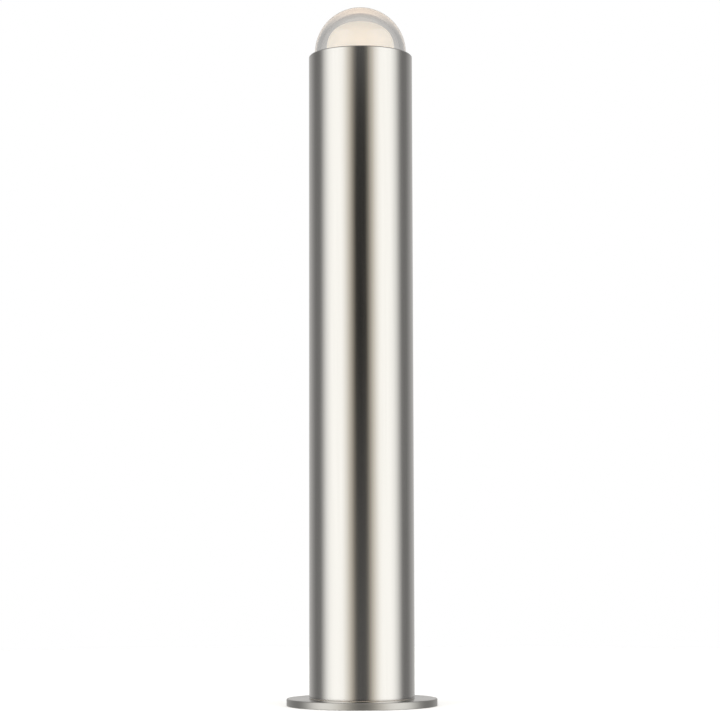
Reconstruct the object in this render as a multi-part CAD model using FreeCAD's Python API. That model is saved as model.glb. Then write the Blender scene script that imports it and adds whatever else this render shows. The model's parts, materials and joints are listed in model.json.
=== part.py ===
"""Bollard light: a satin stainless tube on a round base flange, with a clear glass dome in its top.

The tube (the sleeve) drops over a spigot on the base flange and is held by two set screws at the back.
Inside its top sits the light head: a turned aluminium cup with an LED board under an opal diffuser,
a finned heat sink below it, and a folded steel tray that carries the driver and the terminal block.
The glass dome is bonded into a threaded collar, which screws down into the head onto a flat seal.

Frame: millimetres, +Z up, origin at the centre of the base flange's underside. The front faces -Y.
Every function below returns the solid, or the group of equal solids, of one named node.
"""

import FreeCAD, Part

import math
import os

Vector = FreeCAD.Vector
UP = Vector(0, 0, 1)

# ---------------------------------------------------------------- driving dimensions, in mm
# Tube and base
TUBE_OD = 88.9
TUBE_WALL = 3.0
TUBE_LENGTH = 548.2
RIM_BREAK = 0.5
FLANGE_OVERHANG = 19.05
FLANGE_THICK = 6.0
FLANGE_EDGE_R = 0.8
FOOT_SEAL_THICK = 0.4
FOOT_SEAL_RECESS = 0.4

# Spigot that the tube drops over, and what is fixed through the flange
SLEEVE_CLEARANCE = 0.3
SPIGOT_HEIGHT = 44.0
SPIGOT_WALL = 8.0
SPIGOT_LEAD_IN = 1.5
SPIGOT_SCREW_COUNT = 3
SPIGOT_SCREW_REACH = 12.0
SPIGOT_SCREW_START = -90.0
ORING_SECTION_R = 0.95
ORING_GROOVE_DEPTH = 2.0
ORING_HEIGHT = 14.0
ANCHOR_COUNT = 4
ANCHOR_HOLE_R = 4.5
ANCHOR_START = 45.0
EARTH_TO_WALL = 6.0
EARTH_STUD_R = 2.5
EARTH_STUD_SINK = 4.5
EARTH_STUD_STANDING = 15.5
EARTH_NUT_ACROSS = 8.0
EARTH_NUT_THICK = 4.0
EARTH_WASHER_R = 5.0
EARTH_WASHER_THICK = 1.0
CABLE_BORE_R = 6.0
GROMMET_WAIST_R = 10.0
GROMMET_LIP = 2.5
GROMMET_LIP_THICK = 2.5
GROMMET_LIP_TAPER = 0.8
GROMMET_FOOT = 2.0
GROMMET_FOOT_DEPTH = 2.0
GASKET_EDGE = 8.0
GASKET_WIDTH = 6.0
GASKET_DEPTH = 1.5

# Set screws through the tube into the spigot's keyways
SET_SCREW_ANGLES = (60.0, 120.0)
SET_SCREW_HEIGHT = 28.0
SET_SCREW_SINK = 0.3
KEYWAY_DEPTH = 2.0
KEYWAY_PLAY = 0.3
KEYWAY_BELOW = 4.0
TIP_GAP = 0.1

# Glass dome and its collar
DOME_GAP = 2.15
DOME_WALL = 4.9
DOME_RISE = 3.3
DOME_SKIRT = 17.3
GLASS_EDGE = 0.5
BOND_GAP = 0.4
COLLAR_CLEARANCE = 0.3
COLLAR_FLOOR = 4.0
RIM_TO_LIP = 3.0
NECK_WALL = 2.5
THREAD_PITCH = 4.0
THREAD_TURNS = 2
NECK_PLAY = 0.3
SEAL_THICK = 2.0
SEAL_INSET = 0.35
SEAL_ON_NECK = 0.15

# Light head
HEAD_CLEARANCE = 0.3
HEAD_WALL = 8.0
CUP_DEPTH = 13.0
HEAD_FLOOR = 11.0
SEAT_WIDTH = 9.0
SEAT_THICK = 6.0
HEAD_ORING_HEIGHT = 6.0
HEAD_SCREW_COUNT = 3
HEAD_SCREW_START = 30.0
LEAD_BORE_R = 5.0
CONNECTOR_POCKET_R = 7.0
CONNECTOR_SIZE = (8.0, 6.0, 7.0)
CONNECTOR_GAP = 0.2
POCKET_BEYOND = 1.0

# Opal diffuser and LED board
DIFFUSER_IN_NECK = 1.35
DIFFUSER_WALL = 2.2
DIFFUSER_TOP_GAP = 8.2
DIFFUSER_CROWN = 21.6
DIFFUSER_FULLNESS = 2.3
DIFFUSER_FLANGE_GAP = 0.35
DIFFUSER_FLANGE_THICK = 2.0
SNAP_RING_R = 0.9
SNAP_RING_BITE = 0.55
SNAP_RING_OPENING = 24.0
PAD_THICK = 0.6
BOARD_THICK = 1.6
BOARD_CLEARANCE = 0.5
BOARD_SCREW_EDGE = 3.5
BOARD_SCREW_COUNT = 3
BOARD_SCREW_REACH = 6.0
BOARD_SCREW_START = 15.0
LED_COUNT = 12
LED_EDGE = 8.0
LED_SIZE = 3.0
LED_THICK = 0.8
REFLECTOR_THICK = 0.8
REFLECTOR_PLAY = 0.3

# Heat sink
SINK_CLEARANCE = 0.5
SINK_DISC_THICK = 6.0
SINK_LENGTH = 45.0
SINK_HUB_R = 13.0
SINK_FIN_COUNT = 18
SINK_FIN_THICK = 1.6
SINK_FIN_SHORT = 4.0
FIN_ROOT = 1.0
SINK_SCREW_R = 17.5
SINK_SCREW_COUNT = 3
SINK_SCREW_SHORT = 1.0

# Gear tray and what it carries
TRAY_BELOW_GRIP = 15.0
TRAY_WIDTH = 46.0
TRAY_SHEET = 1.5
TRAY_BACK = 8.0
TRAY_TOP_REACH = 20.0
TRAY_FOOT_REACH = 28.0
TRAY_BEND_R = 1.0
TRAY_SCREW_X = 9.0
TRAY_SCREW_REACH = 9.0
GUIDE_THICK = 6.0
GUIDE_RIM = 5.2
GUIDE_BAR = 40.0
GUIDE_CABLE_R = 6.5
GUIDE_CABLE_Y = -4.0
GUIDE_SCREW_X = 14.0
DRIVER_SIZE = (40.0, 28.0, 108.0)
DRIVER_EDGE_R = 2.0
DRIVER_CAP = 6.0
DRIVER_BELOW_TRAY_TOP = 46.0
DRIVER_TAB = (14.0, 3.0, 12.0)
LEAD_FRONT = 14.0
LEAD_R = 1.2
LEAD_INSERT = 2.0
LED_LEAD_X = 6.0
LED_LEAD_SHELF = 4.0
LED_LEAD_LEAN = 0.8
LED_LEAD_STRAIGHT = 22.0
SUPPLY_LEAD_STEP = 7.0
LIVE_BOW = 4.0
NEUTRAL_BOW = 6.5
EARTH_BOW = 3.0
LEAD_SHORT = 1.0
LEAD_ARC_SHARE = 0.45
TERMINAL_SIZE = (36.0, 14.0, 20.0)
TERMINAL_POLE_STEP = 12.0
TERMINAL_BELOW_DRIVER = 78.0
TERMINAL_ENTRY_R = 2.2
TERMINAL_ENTRY_DEPTH = 7.0
TERMINAL_ENTRY_BACK = 6.0
TERMINAL_SCREW_SINK = 2.0
TERMINAL_SLOT_WIDTH = 0.6
TERMINAL_SLOT_DEPTH = 1.0
GRIP_SIZE = (34.0, 9.0, 9.0)
GRIP_BELOW_TERMINAL = 14.0
GRIP_CABLE_R = 5.5
GRIP_CABLE_FORWARD = 1.0
GRIP_SCREW_X = 12.5

# Fasteners: shank radius, head radius, head height, socket across flats
M3 = dict(shank=1.5, head=2.75, height=3.0, socket=2.5)
M4 = dict(shank=2.0, head=3.5, height=4.0, socket=3.0)
M4_FLAT = dict(shank=2.0, head=3.8, height=2.3, socket=2.5)
M5_FLAT = dict(shank=2.5, head=4.8, height=2.8, socket=3.0)
SET_SCREW = dict(shank=2.5, socket=2.5)
FIT_PLAY = 0.05
CLEARANCE_PLAY = 0.25
SOCKET_DEPTH_SHARE = 0.55
HOLE_BEYOND = 1.0

# How far a cutter runs past the face it cuts, and how close two lengths are to count as the same
PAST = 1.0
SAME = 0.01

# ---------------------------------------------------------------- places worked out from them
tube_r = TUBE_OD / 2
bore_r = tube_r - TUBE_WALL
flange_r = tube_r + FLANGE_OVERHANG
tube_foot_z = FLANGE_THICK + FOOT_SEAL_THICK
rim_z = tube_foot_z + TUBE_LENGTH

spigot_r = bore_r - SLEEVE_CLEARANCE
spigot_bore_r = spigot_r - SPIGOT_WALL
spigot_mid_r = spigot_r - SPIGOT_WALL / 2
spigot_top_z = FLANGE_THICK + SPIGOT_HEIGHT
anchor_circle_r = (GROMMET_WAIST_R + GROMMET_LIP + spigot_bore_r) / 2
earth_y = spigot_bore_r - EARTH_TO_WALL

dome_r = bore_r - DOME_GAP
dome_bore_r = dome_r - DOME_WALL
dome_centre_z = rim_z + DOME_RISE
dome_foot_z = dome_centre_z - DOME_SKIRT
collar_r = bore_r - COLLAR_CLEARANCE
collar_lip_r = dome_r + BOND_GAP
collar_lip_z = rim_z - RIM_TO_LIP
collar_floor_z = dome_foot_z - COLLAR_FLOOR

head_r = bore_r - HEAD_CLEARANCE
head_top_z = collar_floor_z - SEAL_THICK
cup_r = head_r - HEAD_WALL
cup_floor_z = head_top_z - CUP_DEPTH
head_foot_z = cup_floor_z - HEAD_FLOOR
head_wall_mid_r = head_r - HEAD_WALL / 2 - FIT_PLAY
neck_r = cup_r - NECK_PLAY
neck_bore_r = neck_r - NECK_WALL
neck_foot_z = collar_floor_z - THREAD_PITCH * THREAD_TURNS
seat_bore_r = bore_r - SEAT_WIDTH
seat_foot_z = head_foot_z - SEAT_THICK

diffuser_r = neck_bore_r - DIFFUSER_IN_NECK
diffuser_top_z = dome_centre_z + dome_bore_r - DIFFUSER_TOP_GAP
diffuser_shoulder_z = diffuser_top_z - DIFFUSER_CROWN
diffuser_flange_r = cup_r - DIFFUSER_FLANGE_GAP
snap_ring_z = cup_floor_z + DIFFUSER_FLANGE_THICK + SNAP_RING_R
board_r = diffuser_r - DIFFUSER_WALL - BOARD_CLEARANCE
board_z = cup_floor_z + PAD_THICK
board_top_z = board_z + BOARD_THICK
board_screw_r = board_r - BOARD_SCREW_EDGE
led_circle_r = board_r - LED_EDGE
led_top_z = board_top_z + LED_THICK

sink_r = seat_bore_r - SINK_CLEARANCE
sink_disc_z = head_foot_z - SINK_DISC_THICK
sink_foot_z = head_foot_z - SINK_LENGTH
sink_screw_start = (3 + 1 / 2) * 360 / SINK_FIN_COUNT  # in the middle of the gap after the third fin

tray_top_z = sink_foot_z
driver_top_z = tray_top_z - DRIVER_BELOW_TRAY_TOP
driver_foot_z = driver_top_z - DRIVER_SIZE[2] - 2 * DRIVER_CAP
lead_y = TRAY_BACK - LEAD_FRONT
terminal_top_z = driver_foot_z - TERMINAL_BELOW_DRIVER
terminal_foot_z = terminal_top_z - TERMINAL_SIZE[2]
terminal_entry_y = TRAY_BACK - TERMINAL_ENTRY_BACK
grip_top_z = terminal_foot_z - GRIP_BELOW_TERMINAL
tray_foot_z = grip_top_z - GRIP_SIZE[2] - TRAY_BELOW_GRIP


# ---------------------------------------------------------------- helpers
def rod(radius, z0, z1, x=0.0, y=0.0):
    """An upright cylinder from z0 to z1."""
    return Part.makeCylinder(radius, z1 - z0, Vector(x, y, z0), UP)


def ring(outer, inner, z0, z1):
    """An upright ring round the object's axis."""
    return rod(outer, z0, z1).cut(rod(inner, z0 - PAST, z1 + PAST))


def block(x0, x1, y0, y1, z0, z1):
    return Part.makeBox(x1 - x0, y1 - y0, z1 - z0, Vector(x0, y0, z0))


def lathe(points):
    """A solid turned from a closed outline of (radius, height) points."""
    outline = [Vector(r, 0, z) for r, z in points]
    face = Part.Face(Part.makePolygon(outline + outline[:1]))
    return face.revolve(Vector(0, 0, 0), UP, 360)


def on_circle(count, radius, start=0.0):
    """(x, y) of equally spaced places on a circle, the first at start degrees."""
    angles = [math.radians(start + 360.0 * i / count) for i in range(count)]
    return [(radius * math.cos(a), radius * math.sin(a)) for a in angles]


def group(solids):
    return Part.makeCompound(list(solids))


def hex_bar(across, z0, z1, x=0.0, y=0.0):
    """An upright hexagonal bar of that size across its flats."""
    corner = across / 2 / math.cos(math.radians(30))
    points = [Vector(x + px, y + py, z0) for px, py in on_circle(6, corner)]
    return Part.Face(Part.makePolygon(points + points[:1])).extrude(UP * (z1 - z0))


def aimed(shape, direction, place):
    """Turns a shape that was made along +Z at the origin so that it points along direction, at place."""
    shape = shape.copy()
    turn = FreeCAD.Rotation(UP, Vector(*direction))
    shape.Placement = FreeCAD.Placement(Vector(*place), turn)
    return shape


def cap_screw(size, length):
    """A socket head screw along +Z: its shank rises from the origin and its head lies below."""
    depth = size["height"] * SOCKET_DEPTH_SHARE
    head = rod(size["head"], -size["height"], 0)
    socket = hex_bar(size["socket"], -size["height"] - PAST, -size["height"] + depth)
    return head.fuse(rod(size["shank"], 0, length)).cut(socket).removeSplitter()


def flat_screw(size, length):
    """A countersunk screw along +Z: the flat of its head is at the origin and its point at length."""
    cone = Part.makeCone(size["head"], size["shank"], size["height"])
    socket = hex_bar(size["socket"], -PAST, size["height"] * SOCKET_DEPTH_SHARE)
    return cone.fuse(rod(size["shank"], 0, length)).cut(socket).removeSplitter()


def flat_screw_hole(size, length):
    """What a countersunk screw needs taken away round it."""
    play = CLEARANCE_PLAY
    cone = Part.makeCone(size["head"] + play, size["shank"] + play, size["height"])
    return cone.fuse(rod(size["shank"] + play, 0, length)).fuse(rod(size["head"] + play, -PAST, 0))


def superellipse(width, height, count=12):
    """Points of a quarter superellipse, from (width, 0) to (0, height)."""
    power = 2.0 / DIFFUSER_FULLNESS
    angles = [math.radians(90.0 * i / count) for i in range(count + 1)]
    side = [(width * math.cos(a) ** power, height * math.sin(a) ** power) for a in angles[:-1]]
    return side + [(0.0, height)]


def crown_curve(width, height, shoulder_z):
    """The diffuser's crown as one smooth curve, upright at the shoulder and level at the top."""
    points = [Vector(r, 0, shoulder_z + z) for r, z in superellipse(width, height)]
    curve = Part.BSplineCurve()
    curve.interpolate(Points=points, InitialTangent=UP, FinalTangent=Vector(-1, 0, 0))
    return curve.toShape()


def lead(points):
    """A round lead along straight runs joined by tangent arcs, each as large as its two runs allow."""
    points = [Vector(*p) for p in points]
    edges, radii, start = [], [], points[0]
    for before, corner, after in zip(points, points[1:], points[2:]):
        back, on = (before - corner).normalize(), (after - corner).normalize()
        half_turn = (math.pi - back.getAngle(on)) / 2
        shorter = min((before - corner).Length, (after - corner).Length)
        reach = LEAD_ARC_SHARE * shorter
        radius = reach / math.tan(half_turn)
        radii.append(round(radius))
        middle = corner + (back + on).normalize() * (radius / math.cos(half_turn) - radius)
        first, last = corner + back * reach, corner + on * reach
        edges += [Part.LineSegment(start, first).toShape(), Part.Arc(first, middle, last).toShape()]
        start = last
    edges.append(Part.LineSegment(start, points[-1]).toShape())
    path = Part.Wire(edges)
    print(f"lead {path.Length:.1f} long, arc radii {radii}")
    section = Part.Wire(Part.makeCircle(LEAD_R, points[0], points[1] - points[0]))
    return path.makePipeShell([section], True, False)


# ---------------------------------------------------------------- base
def base_flange():
    disc = rod(flange_r, 0, FLANGE_THICK)
    edges = [e for e in disc.Edges if e.Curve.TypeId == "Part::GeomCircle"]
    disc = disc.makeFillet(FLANGE_EDGE_R, edges)
    disc = disc.cut(rod(GROMMET_WAIST_R, -PAST, FLANGE_THICK + PAST))
    disc = disc.cut(rod(GROMMET_WAIST_R + GROMMET_FOOT, -PAST, GROMMET_FOOT_DEPTH))
    disc = disc.cut(ring(gasket_outer_r(), gasket_outer_r() - GASKET_WIDTH, -PAST, GASKET_DEPTH))
    for x, y in on_circle(ANCHOR_COUNT, anchor_circle_r, ANCHOR_START):
        disc = disc.cut(rod(ANCHOR_HOLE_R, -PAST, FLANGE_THICK + PAST, x, y))
    for x, y in on_circle(SPIGOT_SCREW_COUNT, spigot_mid_r, SPIGOT_SCREW_START):
        disc = disc.cut(aimed(flat_screw_hole(M5_FLAT, FLANGE_THICK + PAST), (0, 0, 1), (x, y, 0)))
    stud_foot_z = FLANGE_THICK - EARTH_STUD_SINK
    return disc.cut(rod(EARTH_STUD_R + FIT_PLAY, stud_foot_z, FLANGE_THICK + PAST, 0, earth_y))


def gasket_outer_r():
    return flange_r - GASKET_EDGE


def base_gasket():
    """Foam ring let into the underside, flush with it."""
    return ring(gasket_outer_r(), gasket_outer_r() - GASKET_WIDTH, 0, GASKET_DEPTH)


def spigot():
    top = spigot_top_z
    chamfer = SPIGOT_LEAD_IN
    body = lathe([(spigot_bore_r, FLANGE_THICK), (spigot_r, FLANGE_THICK), (spigot_r, top - chamfer),
                  (spigot_r - chamfer, top), (spigot_bore_r, top)])
    groove_z = FLANGE_THICK + ORING_HEIGHT
    half = ORING_SECTION_R + FIT_PLAY
    body = body.cut(ring(spigot_r + PAST, spigot_r - ORING_GROOVE_DEPTH, groove_z - half, groove_z + half))
    width = 2 * (SET_SCREW["shank"] + KEYWAY_PLAY)
    for angle in SET_SCREW_ANGLES:
        slot = block(spigot_r - KEYWAY_DEPTH, spigot_r + PAST, -width / 2, width / 2,
                     SET_SCREW_HEIGHT - KEYWAY_BELOW, top + PAST)
        slot.rotate(Vector(0, 0, 0), UP, angle)
        body = body.cut(slot)
    for x, y in on_circle(SPIGOT_SCREW_COUNT, spigot_mid_r, SPIGOT_SCREW_START):
        body = body.cut(rod(M5_FLAT["shank"] + FIT_PLAY, FLANGE_THICK - PAST,
                            FLANGE_THICK + SPIGOT_SCREW_REACH + HOLE_BEYOND, x, y))
    return body


def spigot_oring():
    """Rubber ring in the spigot's groove, which keeps the tube from rattling."""
    floor_r = spigot_r - ORING_GROOVE_DEPTH
    return Part.makeTorus(floor_r + FIT_PLAY + ORING_SECTION_R, ORING_SECTION_R,
                          Vector(0, 0, FLANGE_THICK + ORING_HEIGHT), UP)


def spigot_screws():
    screw = flat_screw(M5_FLAT, FLANGE_THICK + SPIGOT_SCREW_REACH)
    places = on_circle(SPIGOT_SCREW_COUNT, spigot_mid_r, SPIGOT_SCREW_START)
    return group(aimed(screw, (0, 0, 1), (x, y, 0)) for x, y in places)


def foot_seal():
    """Thin silicone film under the tube's lower edge, set back a little from it."""
    return ring(tube_r - FOOT_SEAL_RECESS, bore_r, FLANGE_THICK, tube_foot_z)


def cable_grommet():
    bore, waist = CABLE_BORE_R, GROMMET_WAIST_R
    foot, lip = waist + GROMMET_FOOT, waist + GROMMET_LIP
    top = FLANGE_THICK + GROMMET_LIP_THICK
    return lathe([(bore, 0), (foot, 0), (foot, GROMMET_FOOT_DEPTH), (waist, GROMMET_FOOT_DEPTH),
                  (waist, FLANGE_THICK), (lip, FLANGE_THICK), (lip - GROMMET_LIP_TAPER, top), (bore, top)])


def earth_stud():
    return rod(EARTH_STUD_R, FLANGE_THICK - EARTH_STUD_SINK, FLANGE_THICK + EARTH_STUD_STANDING, 0, earth_y)


def earth_washer():
    return rod(EARTH_WASHER_R, FLANGE_THICK, FLANGE_THICK + EARTH_WASHER_THICK, 0, earth_y).cut(
        rod(EARTH_STUD_R + CLEARANCE_PLAY, 0, FLANGE_THICK + 2 * EARTH_WASHER_THICK, 0, earth_y))


def earth_nut():
    z0 = FLANGE_THICK + EARTH_WASHER_THICK
    nut = hex_bar(EARTH_NUT_ACROSS, z0, z0 + EARTH_NUT_THICK, 0, earth_y)
    return nut.cut(rod(EARTH_STUD_R + FIT_PLAY, z0 - PAST, z0 + EARTH_NUT_THICK + PAST, 0, earth_y))


# ---------------------------------------------------------------- tube
def set_screw_places():
    """For each set screw, its direction inwards and where its outer end lies."""
    places = []
    for angle in SET_SCREW_ANGLES:
        x, y = math.cos(math.radians(angle)), math.sin(math.radians(angle))
        outer = tube_r - SET_SCREW_SINK
        places.append(((-x, -y, 0), (outer * x, outer * y, SET_SCREW_HEIGHT)))
    return places


def tube():
    body = lathe([(bore_r, tube_foot_z), (tube_r, tube_foot_z), (tube_r, rim_z - RIM_BREAK),
                  (tube_r - RIM_BREAK, rim_z), (bore_r, rim_z)])
    for direction, place in set_screw_places():
        hole = rod(SET_SCREW["shank"] + FIT_PLAY, -TUBE_WALL, 2 * TUBE_WALL)
        body = body.cut(aimed(hole, direction, place))
    return body


def tube_set_screws():
    tip_r = spigot_r - KEYWAY_DEPTH + TIP_GAP
    length = tube_r - SET_SCREW_SINK - tip_r
    screw = rod(SET_SCREW["shank"], 0, length)
    screw = screw.cut(hex_bar(SET_SCREW["socket"], -PAST, length * SOCKET_DEPTH_SHARE))
    return group(aimed(screw, direction, place) for direction, place in set_screw_places())


def head_seat_ring():
    """Steel ring fixed in the tube's bore, on which the light head stands."""
    body = ring(bore_r, seat_bore_r, seat_foot_z, head_foot_z)
    for x, y in on_circle(HEAD_SCREW_COUNT, head_wall_mid_r, HEAD_SCREW_START):
        body = body.cut(rod(M3["shank"] + FIT_PLAY, seat_foot_z - PAST, head_foot_z + PAST, x, y))
    return body


# ---------------------------------------------------------------- light head
def head_cup():
    body = rod(head_r, head_foot_z, head_top_z).cut(rod(cup_r, cup_floor_z, head_top_z + PAST))
    body = body.cut(rod(LEAD_BORE_R, head_foot_z - PAST, cup_floor_z + PAST))
    pocket_floor_z = cup_floor_z - CONNECTOR_SIZE[2] - POCKET_BEYOND
    body = body.cut(rod(CONNECTOR_POCKET_R, pocket_floor_z, cup_floor_z + PAST))
    half = ORING_SECTION_R + FIT_PLAY
    groove_z = head_foot_z + HEAD_ORING_HEIGHT
    body = body.cut(ring(head_r + PAST, head_r - ORING_GROOVE_DEPTH, groove_z - half, groove_z + half))
    ring_play = SNAP_RING_R + FIT_PLAY
    body = body.cut(ring(cup_r + SNAP_RING_BITE + FIT_PLAY, cup_r - PAST,
                         snap_ring_z - ring_play, snap_ring_z + ring_play))
    for x, y in on_circle(HEAD_SCREW_COUNT, head_wall_mid_r, HEAD_SCREW_START):
        body = body.cut(rod(M3["shank"] + FIT_PLAY, head_foot_z - PAST, head_top_z, x, y))
        body = body.cut(rod(M3["head"] + CLEARANCE_PLAY, head_top_z - M3["height"], head_top_z + PAST, x, y))
    for x, y in on_circle(SINK_SCREW_COUNT, SINK_SCREW_R, sink_screw_start):
        hole = aimed(flat_screw_hole(M4_FLAT, HEAD_FLOOR + PAST), (0, 0, -1), (x, y, cup_floor_z))
        body = body.cut(hole)
    for x, y in on_circle(BOARD_SCREW_COUNT, board_screw_r, BOARD_SCREW_START):
        body = body.cut(rod(M3["shank"] + FIT_PLAY, cup_floor_z - BOARD_SCREW_REACH - HOLE_BEYOND,
                            cup_floor_z + PAST, x, y))
    return body


def head_oring():
    floor_r = head_r - ORING_GROOVE_DEPTH
    return Part.makeTorus(floor_r + FIT_PLAY + ORING_SECTION_R, ORING_SECTION_R,
                          Vector(0, 0, head_foot_z + HEAD_ORING_HEIGHT), UP)


def head_screws():
    length = head_top_z - M3["height"] - seat_foot_z
    screw = cap_screw(M3, length)
    return group(aimed(screw, (0, 0, -1), (x, y, head_top_z - M3["height"]))
                 for x, y in on_circle(HEAD_SCREW_COUNT, head_wall_mid_r, HEAD_SCREW_START))


def thermal_pad():
    return board_disc(cup_floor_z, board_z)


def led_board():
    return board_disc(board_z, board_top_z)


def board_disc(z0, z1, screw_hole_r=M3["shank"] + CLEARANCE_PLAY):
    """A disc of the board's outline with the holes for its screws."""
    disc = rod(board_r, z0, z1)
    for x, y in on_circle(BOARD_SCREW_COUNT, board_screw_r, BOARD_SCREW_START):
        disc = disc.cut(rod(screw_hole_r, z0 - PAST, z1 + PAST, x, y))
    return disc


def led_square(x, y, size, z0, z1):
    square = block(-size / 2, size / 2, -size / 2, size / 2, z0, z1)
    square.rotate(Vector(0, 0, 0), UP, math.degrees(math.atan2(y, x)))
    square.translate(Vector(x, y, 0))
    return square


def led_chips():
    places = on_circle(LED_COUNT, led_circle_r)
    return group(led_square(x, y, LED_SIZE, board_top_z, led_top_z) for x, y in places)


def reflector_sheet():
    """White sheet on the board, cut out round each LED and screw."""
    z0, z1 = board_top_z, board_top_z + REFLECTOR_THICK
    sheet = board_disc(z0, z1, M3["head"] + REFLECTOR_PLAY)
    for x, y in on_circle(LED_COUNT, led_circle_r):
        sheet = sheet.cut(led_square(x, y, LED_SIZE + 2 * REFLECTOR_PLAY, z0 - PAST, z1 + PAST))
    return sheet


def board_screws():
    screw = cap_screw(M3, BOARD_THICK + PAD_THICK + BOARD_SCREW_REACH)
    return group(aimed(screw, (0, 0, -1), (x, y, board_top_z))
                 for x, y in on_circle(BOARD_SCREW_COUNT, board_screw_r, BOARD_SCREW_START))


def led_connector():
    """Two-pole plug under the board, in the pocket where the leads come up."""
    width, depth, height = CONNECTOR_SIZE
    top = cup_floor_z - CONNECTOR_GAP
    body = block(-width / 2, width / 2, -depth / 2, depth / 2, top - height, top)
    for side in (-1, 1):
        body = body.cut(rod(LEAD_R + FIT_PLAY, top - height - PAST, top - height + LEAD_INSERT,
                            side * connector_lead_x(), 0))
    return body


def connector_lead_x():
    return CONNECTOR_SIZE[0] / 4


def opal_diffuser():
    """Opal shell: a straight skirt with a foot flange, and a full, slightly flattened crown."""
    foot, flange_top = cup_floor_z, cup_floor_z + DIFFUSER_FLANGE_THICK
    inner_r = diffuser_r - DIFFUSER_WALL
    corners = [(inner_r, diffuser_shoulder_z), (inner_r, foot), (diffuser_flange_r, foot),
               (diffuser_flange_r, flange_top), (diffuser_r, flange_top), (diffuser_r, diffuser_shoulder_z)]
    sides = Part.makePolygon([Vector(r, 0, z) for r, z in corners]).Edges
    outer = crown_curve(diffuser_r, DIFFUSER_CROWN, diffuser_shoulder_z)
    inner = crown_curve(inner_r, DIFFUSER_CROWN - DIFFUSER_WALL, diffuser_shoulder_z)
    top = Part.makeLine(Vector(0, 0, diffuser_top_z), Vector(0, 0, diffuser_top_z - DIFFUSER_WALL))
    outline = Part.Wire(Part.__sortEdges__(sides + [outer, top, inner]))
    return Part.Face(outline).revolve(Vector(0, 0, 0), UP, 360)


def diffuser_snap_ring():
    """Sprung wire ring in a groove of the cup, which holds the diffuser's flange down."""
    centre = Vector(cup_r + SNAP_RING_BITE - SNAP_RING_R, 0, snap_ring_z)
    section = Part.Face(Part.Wire(Part.makeCircle(SNAP_RING_R, centre, Vector(0, 1, 0))))
    return section.revolve(Vector(0, 0, 0), UP, 360 - SNAP_RING_OPENING)


def heat_sink():
    """Disc under the head with a hub and radial fins hanging from it."""
    body = rod(sink_r, sink_disc_z, head_foot_z).fuse(rod(SINK_HUB_R, sink_foot_z, head_foot_z))
    for i in range(SINK_FIN_COUNT):
        fin = block(SINK_HUB_R - FIN_ROOT, sink_r, -SINK_FIN_THICK / 2, SINK_FIN_THICK / 2,
                    sink_foot_z + SINK_FIN_SHORT, sink_disc_z + PAST)
        fin.rotate(Vector(0, 0, 0), UP, 360.0 * i / SINK_FIN_COUNT)
        body = body.fuse(fin)
    body = body.common(rod(sink_r, sink_foot_z, head_foot_z)).removeSplitter()
    body = body.cut(rod(LEAD_BORE_R, sink_foot_z - PAST, head_foot_z + PAST))
    for x, y in on_circle(SINK_SCREW_COUNT, SINK_SCREW_R, sink_screw_start):
        body = body.cut(rod(M4_FLAT["shank"] + FIT_PLAY, sink_disc_z - PAST, head_foot_z + PAST, x, y))
    for x in (-TRAY_SCREW_X, TRAY_SCREW_X):
        body = body.cut(rod(M4["shank"] + FIT_PLAY, sink_foot_z - PAST,
                            sink_foot_z + TRAY_SCREW_REACH + HOLE_BEYOND, x))
    return body


def heat_sink_screws():
    screw = flat_screw(M4_FLAT, HEAD_FLOOR + SINK_DISC_THICK - SINK_SCREW_SHORT)
    return group(aimed(screw, (0, 0, -1), (x, y, cup_floor_z))
                 for x, y in on_circle(SINK_SCREW_COUNT, SINK_SCREW_R, sink_screw_start))


# ---------------------------------------------------------------- gear tray
def gear_tray():
    """Folded steel strip: a back plate with a shelf turned forwards at each end."""
    half, front, back = TRAY_WIDTH / 2, TRAY_BACK, TRAY_BACK + TRAY_SHEET
    shelf_top = block(-half, half, back - TRAY_TOP_REACH, back, tray_top_z - TRAY_SHEET, tray_top_z)
    shelf_foot = block(-half, half, back - TRAY_FOOT_REACH, back, tray_foot_z, tray_foot_z + TRAY_SHEET)
    body = block(-half, half, front, back, tray_foot_z, tray_top_z).fuse([shelf_top, shelf_foot])
    body = body.removeSplitter()
    inner = [e for e in body.Edges if is_bend(e, front)]
    body = body.makeFillet(TRAY_BEND_R, inner)
    outer = [e for e in body.Edges if is_bend(e, back)]
    body = body.makeFillet(TRAY_BEND_R + TRAY_SHEET, outer)
    top_cut = (tray_top_z - TRAY_SHEET - PAST, tray_top_z + PAST)
    foot_cut = (tray_foot_z - PAST, tray_foot_z + TRAY_SHEET + PAST)
    body = body.cut(rod(LEAD_BORE_R + CLEARANCE_PLAY, *top_cut))
    body = body.cut(rod(GUIDE_CABLE_R, *foot_cut, 0, GUIDE_CABLE_Y))
    for x in (-TRAY_SCREW_X, TRAY_SCREW_X):
        body = body.cut(rod(M4["shank"] + CLEARANCE_PLAY, *top_cut, x))
    for x in (-GUIDE_SCREW_X, GUIDE_SCREW_X):
        body = body.cut(rod(M3["shank"] + FIT_PLAY, *foot_cut, x, GUIDE_CABLE_Y))
    for x, z, size in tray_front_screws():
        hole = rod(size["shank"] + FIT_PLAY, -PAST, TRAY_SHEET + PAST)
        body = body.cut(aimed(hole, (0, 1, 0), (x, front, z)))
    return body


def is_bend(edge, y):
    """True for a long edge of the folded strip that lies across it at that y, at one of its two ends."""
    box = edge.BoundBox
    across = box.XLength > TRAY_WIDTH - TRAY_BEND_R and max(box.ZLength, box.YLength) < SAME
    return across and abs(box.YMin - y) < SAME


def driver_screw_heights():
    tab_middle = DRIVER_TAB[2] / 2
    return driver_top_z + tab_middle, driver_foot_z - tab_middle


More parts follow.
